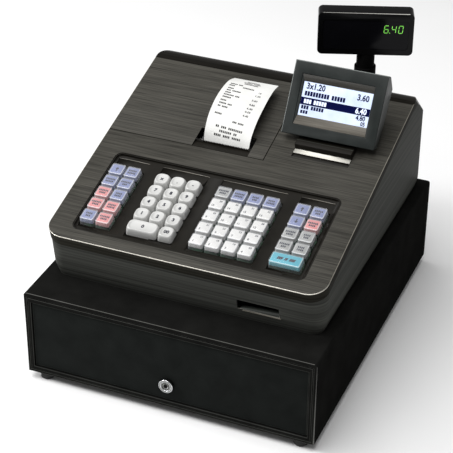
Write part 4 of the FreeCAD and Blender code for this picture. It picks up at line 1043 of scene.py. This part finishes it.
receipt_strip()
receipt_print()


# -------------------- displays

WINDOW = [(50.2, 12.9), (139.2, 12.9), (139.2, 72.2), (50.2, 72.2)]
PANEL = [(53.2, 23.9), (138.1, 23.9), (138.1, 64.1), (53.2, 64.1)]
INK_OFF = -2.76 * MM
SQUEEZE = 0.85
# on the panel, in mm: (text, middle, height, size) and (left, height, letters in each word, letter)
DARK_FIGURES = (("3x1.20", 68.5, 59.0, 10.0), ("3.60", 127.0, 56.6, 10.0), ("4.80", 128.5, 33.2, 7.8),
                ("05", 132.5, 27.0, 6.6))
DARK_WORDS = ((56.5, 50.4, (9, 5), (2.7, 0.7, 5.4)), (55.5, 34.0, (3, 5), (2.5, 0.7, 4.3)),
              (55.5, 28.4, (3,), (2.5, 0.7, 3.8)))
PALE_FIGURES = (("6.40", 127.5, 41.2, 9.4),)
PALE_WORDS = ((57.5, 41.2, (3, 5), (2.5, 0.7, 4.9)),)
BAR = (95.65, 41.2, 84.6, 8.8)


def operator_housing():
    """Housing of the operator's display, with painted highlight lines on two edges of its front."""
    form = node_form("operator_display_shell")

    def front_rim(edge):
        """The left and top edges of the front."""
        offset = middle(edge) - Vector((DISPLAY_X, *DISPLAY_FOOT))
        return abs(offset.dot(LEAN_OUT)) < 0.6 * MM and (offset.x < -56 * MM or offset.dot(LEAN_UP) > 86 * MM)

    round_off(form, 1.0, front_rim, look=1, segments=3, angle=20, shortest=2.5)
    round_off(form, 1.0, away_from(1), segments=3, angle=20, shortest=2.5)
    add_piece("operator_display_finish", form, ["display_plastic", "display_edge_highlight"], "operator_display",
              ("operator_display_shell",))


def display_surround():
    """Plates that slope in from the housing's window to the panel; the lower one is painted pale as if lit
    from above, the upper one painted darker as shade, and the sides take the housing's plastic.
    """
    form = bmesh.new()
    rings = [[form.verts.new(on_display(x * MM, up * MM, off * MM)) for x, up in corners]
             for corners, off in ((WINDOW, -0.9), (PANEL, -2.5), (PANEL, -4.9), (WINDOW, -4.9))]
    for first, second in zip(rings, rings[1:] + rings[:1]):
        for i in range(4):
            side = form.faces.new((first[i], first[(i + 1) % 4], second[(i + 1) % 4], second[i]))
            # painted light and shade: the lower plate pale, the upper plate darker, and the sides in the
            # housing's colour
            side.material_index = (0, 1, 2, 1)[i]
    round_off(form, 0.25)
    add_piece("display_surround", form, ["plate_painted_lit", "display_plastic", "plate_painted_shade"],
              "operator_display")


def panel_print(name, figures, words, look, word_off, bar=None):
    """Figures and words of the lit panel, with a dark bar behind one line of it."""
    form = bmesh.new()
    if bar:
        across, up, width, height = bar
        add_bar(form, on_display, across * MM, up * MM, width * MM, height * MM, INK_OFF)
    for text, across, up, size in figures:
        add_text(form, on_display, text, across * MM, up * MM, size * MM, INK_OFF + 0.1 * MM, SQUEEZE)
    for left, up, counts, letter in words:
        for count in counts:
            left = add_letters(form, on_display, left, up, count, word_off, letter) + letter[0]
    add_piece(name, form, [look], "operator_display")


BLOCK_REAR = (37.8, 8.5)


def display_bracket():
    """Bracket under the display: a bright low step, and a painted highlight line along its rear top edge."""
    form = node_form("display_bracket")

    def shoulder(edge):
        """The rear top edge of the raised block."""
        place = face_place(middle(edge))
        return abs(place.y - BLOCK_REAR[0] * MM) < 0.3 * MM and abs(place.z - BLOCK_REAR[1] * MM) < 0.3 * MM

    # painted highlight line on the raised block's rear top edge
    round_off(form, 0.35, shoulder, shortest=4, angle=10, look=2)
    round_off(form, 0.35, away_from(2), shortest=4)
    form.normal_update()
    for face in form.faces:
        place = face_place(middle(face))
        if 22.9 * MM < place.y < 29.75 * MM and -0.5 * MM < place.z < 1.5 * MM:
            face.material_index = 1
    add_piece("display_bracket_finish", form, ["bezel_plastic", "silver", "panel_edge_highlight"], "cabinet",
              ("display_bracket",))


# lit segments of each figure; each segment is (side, level, 1 if upright)
SEGMENTS = {"6": "acdefg", "4": "bcfg", "0": "abcdef"}
SEGMENT_PLACES = {"a": (0, 1, 0), "d": (0, -1, 0), "g": (0, 0, 0), "b": (1, 0.5, 1), "c": (1, -0.5, 1),
                  "e": (-1, -0.5, 1), "f": (-1, 0.5, 1)}
DIGIT_SLANT = 0.12
DIGIT_UP = 34.0
DIGIT_HALF = 4.7
DIGIT_SIDE = 2.4
DIGIT_OFF = -0.38 * MM
DIGITS = (("6", 22.5), ("4", 31.5), ("0", 39.8))
POINT_X = 26.6


def customer_housing():
    """Housing of the customer's display, with a painted highlight line along the top of its front."""
    form = node_form("customer_display_shell")

    def top_front(edge):
        """The top edge of the front."""
        point = middle(edge)
        return (point - HEAD_PLACE).dot(HEAD_TURN @ Vector((0, -1, 0))) > 10.5 * MM and point.z > 0.3545

    round_off(form, 0.6, top_front, look=1, shortest=1)
    round_off(form, 0.9, away_from(1), shortest=2, angle=40)
    add_piece("customer_display_finish", form, ["gloss_black", "gloss_edge_highlight"], "customer_display",
              ("customer_display_shell",))


def customer_figures():
    """Lit figures made of slanting segments, and a point."""
    form = bmesh.new()
    for text, across in DIGITS:
        for segment in SEGMENTS[text]:
            side, level, upright = SEGMENT_PLACES[segment]
            x = across + side * DIGIT_SIDE + level * DIGIT_HALF * DIGIT_SLANT
            width, height = (0.78, 3.7) if upright else (4.0, 0.78)
            add_bar(form, on_head, x * MM, (DIGIT_UP + level * DIGIT_HALF) * MM, width * MM, height * MM,
                    DIGIT_OFF, slant=DIGIT_SLANT * height / 2 * MM)
    add_bar(form, on_head, POINT_X * MM, (DIGIT_UP - DIGIT_HALF) * MM, 1.0 * MM, 1.0 * MM, DIGIT_OFF)
    add_piece("customer_figures", form, ["green_glow"], "customer_display")


operator_housing()
display_surround()
panel_print("display_figures", DARK_FIGURES, DARK_WORDS, "lcd_ink", INK_OFF, BAR)
panel_print("display_figures_pale", PALE_FIGURES, PALE_WORDS, "lcd_white", INK_OFF + 0.08 * MM)
display_bracket()
customer_housing()
customer_figures()
soften("customer_pole", 0.8, ["pole_plastic"], segments=3, shortest=0.2, angle=60)


# -------------------- what is left of the CAD, and the floor

for node, holder in frame["nodes"].items():
    if not holder.hide_render and SLOT_OF[node] in MATERIALS:
        holder.material_slots[0].material = MATERIALS[SLOT_OF[node]]

floor_form = bmesh.new()
bmesh.ops.create_grid(floor_form, x_segments=8, y_segments=8, size=30)
floor_mesh = bpy.data.meshes.new("floor")
floor_form.to_mesh(floor_mesh)
floor_form.free()
floor_mesh.materials.append(MATERIALS["floor"])
floor = bpy.data.objects.new("floor", floor_mesh)
floor.location.z = -0.5 * MM
scene.collection.objects.link(floor)
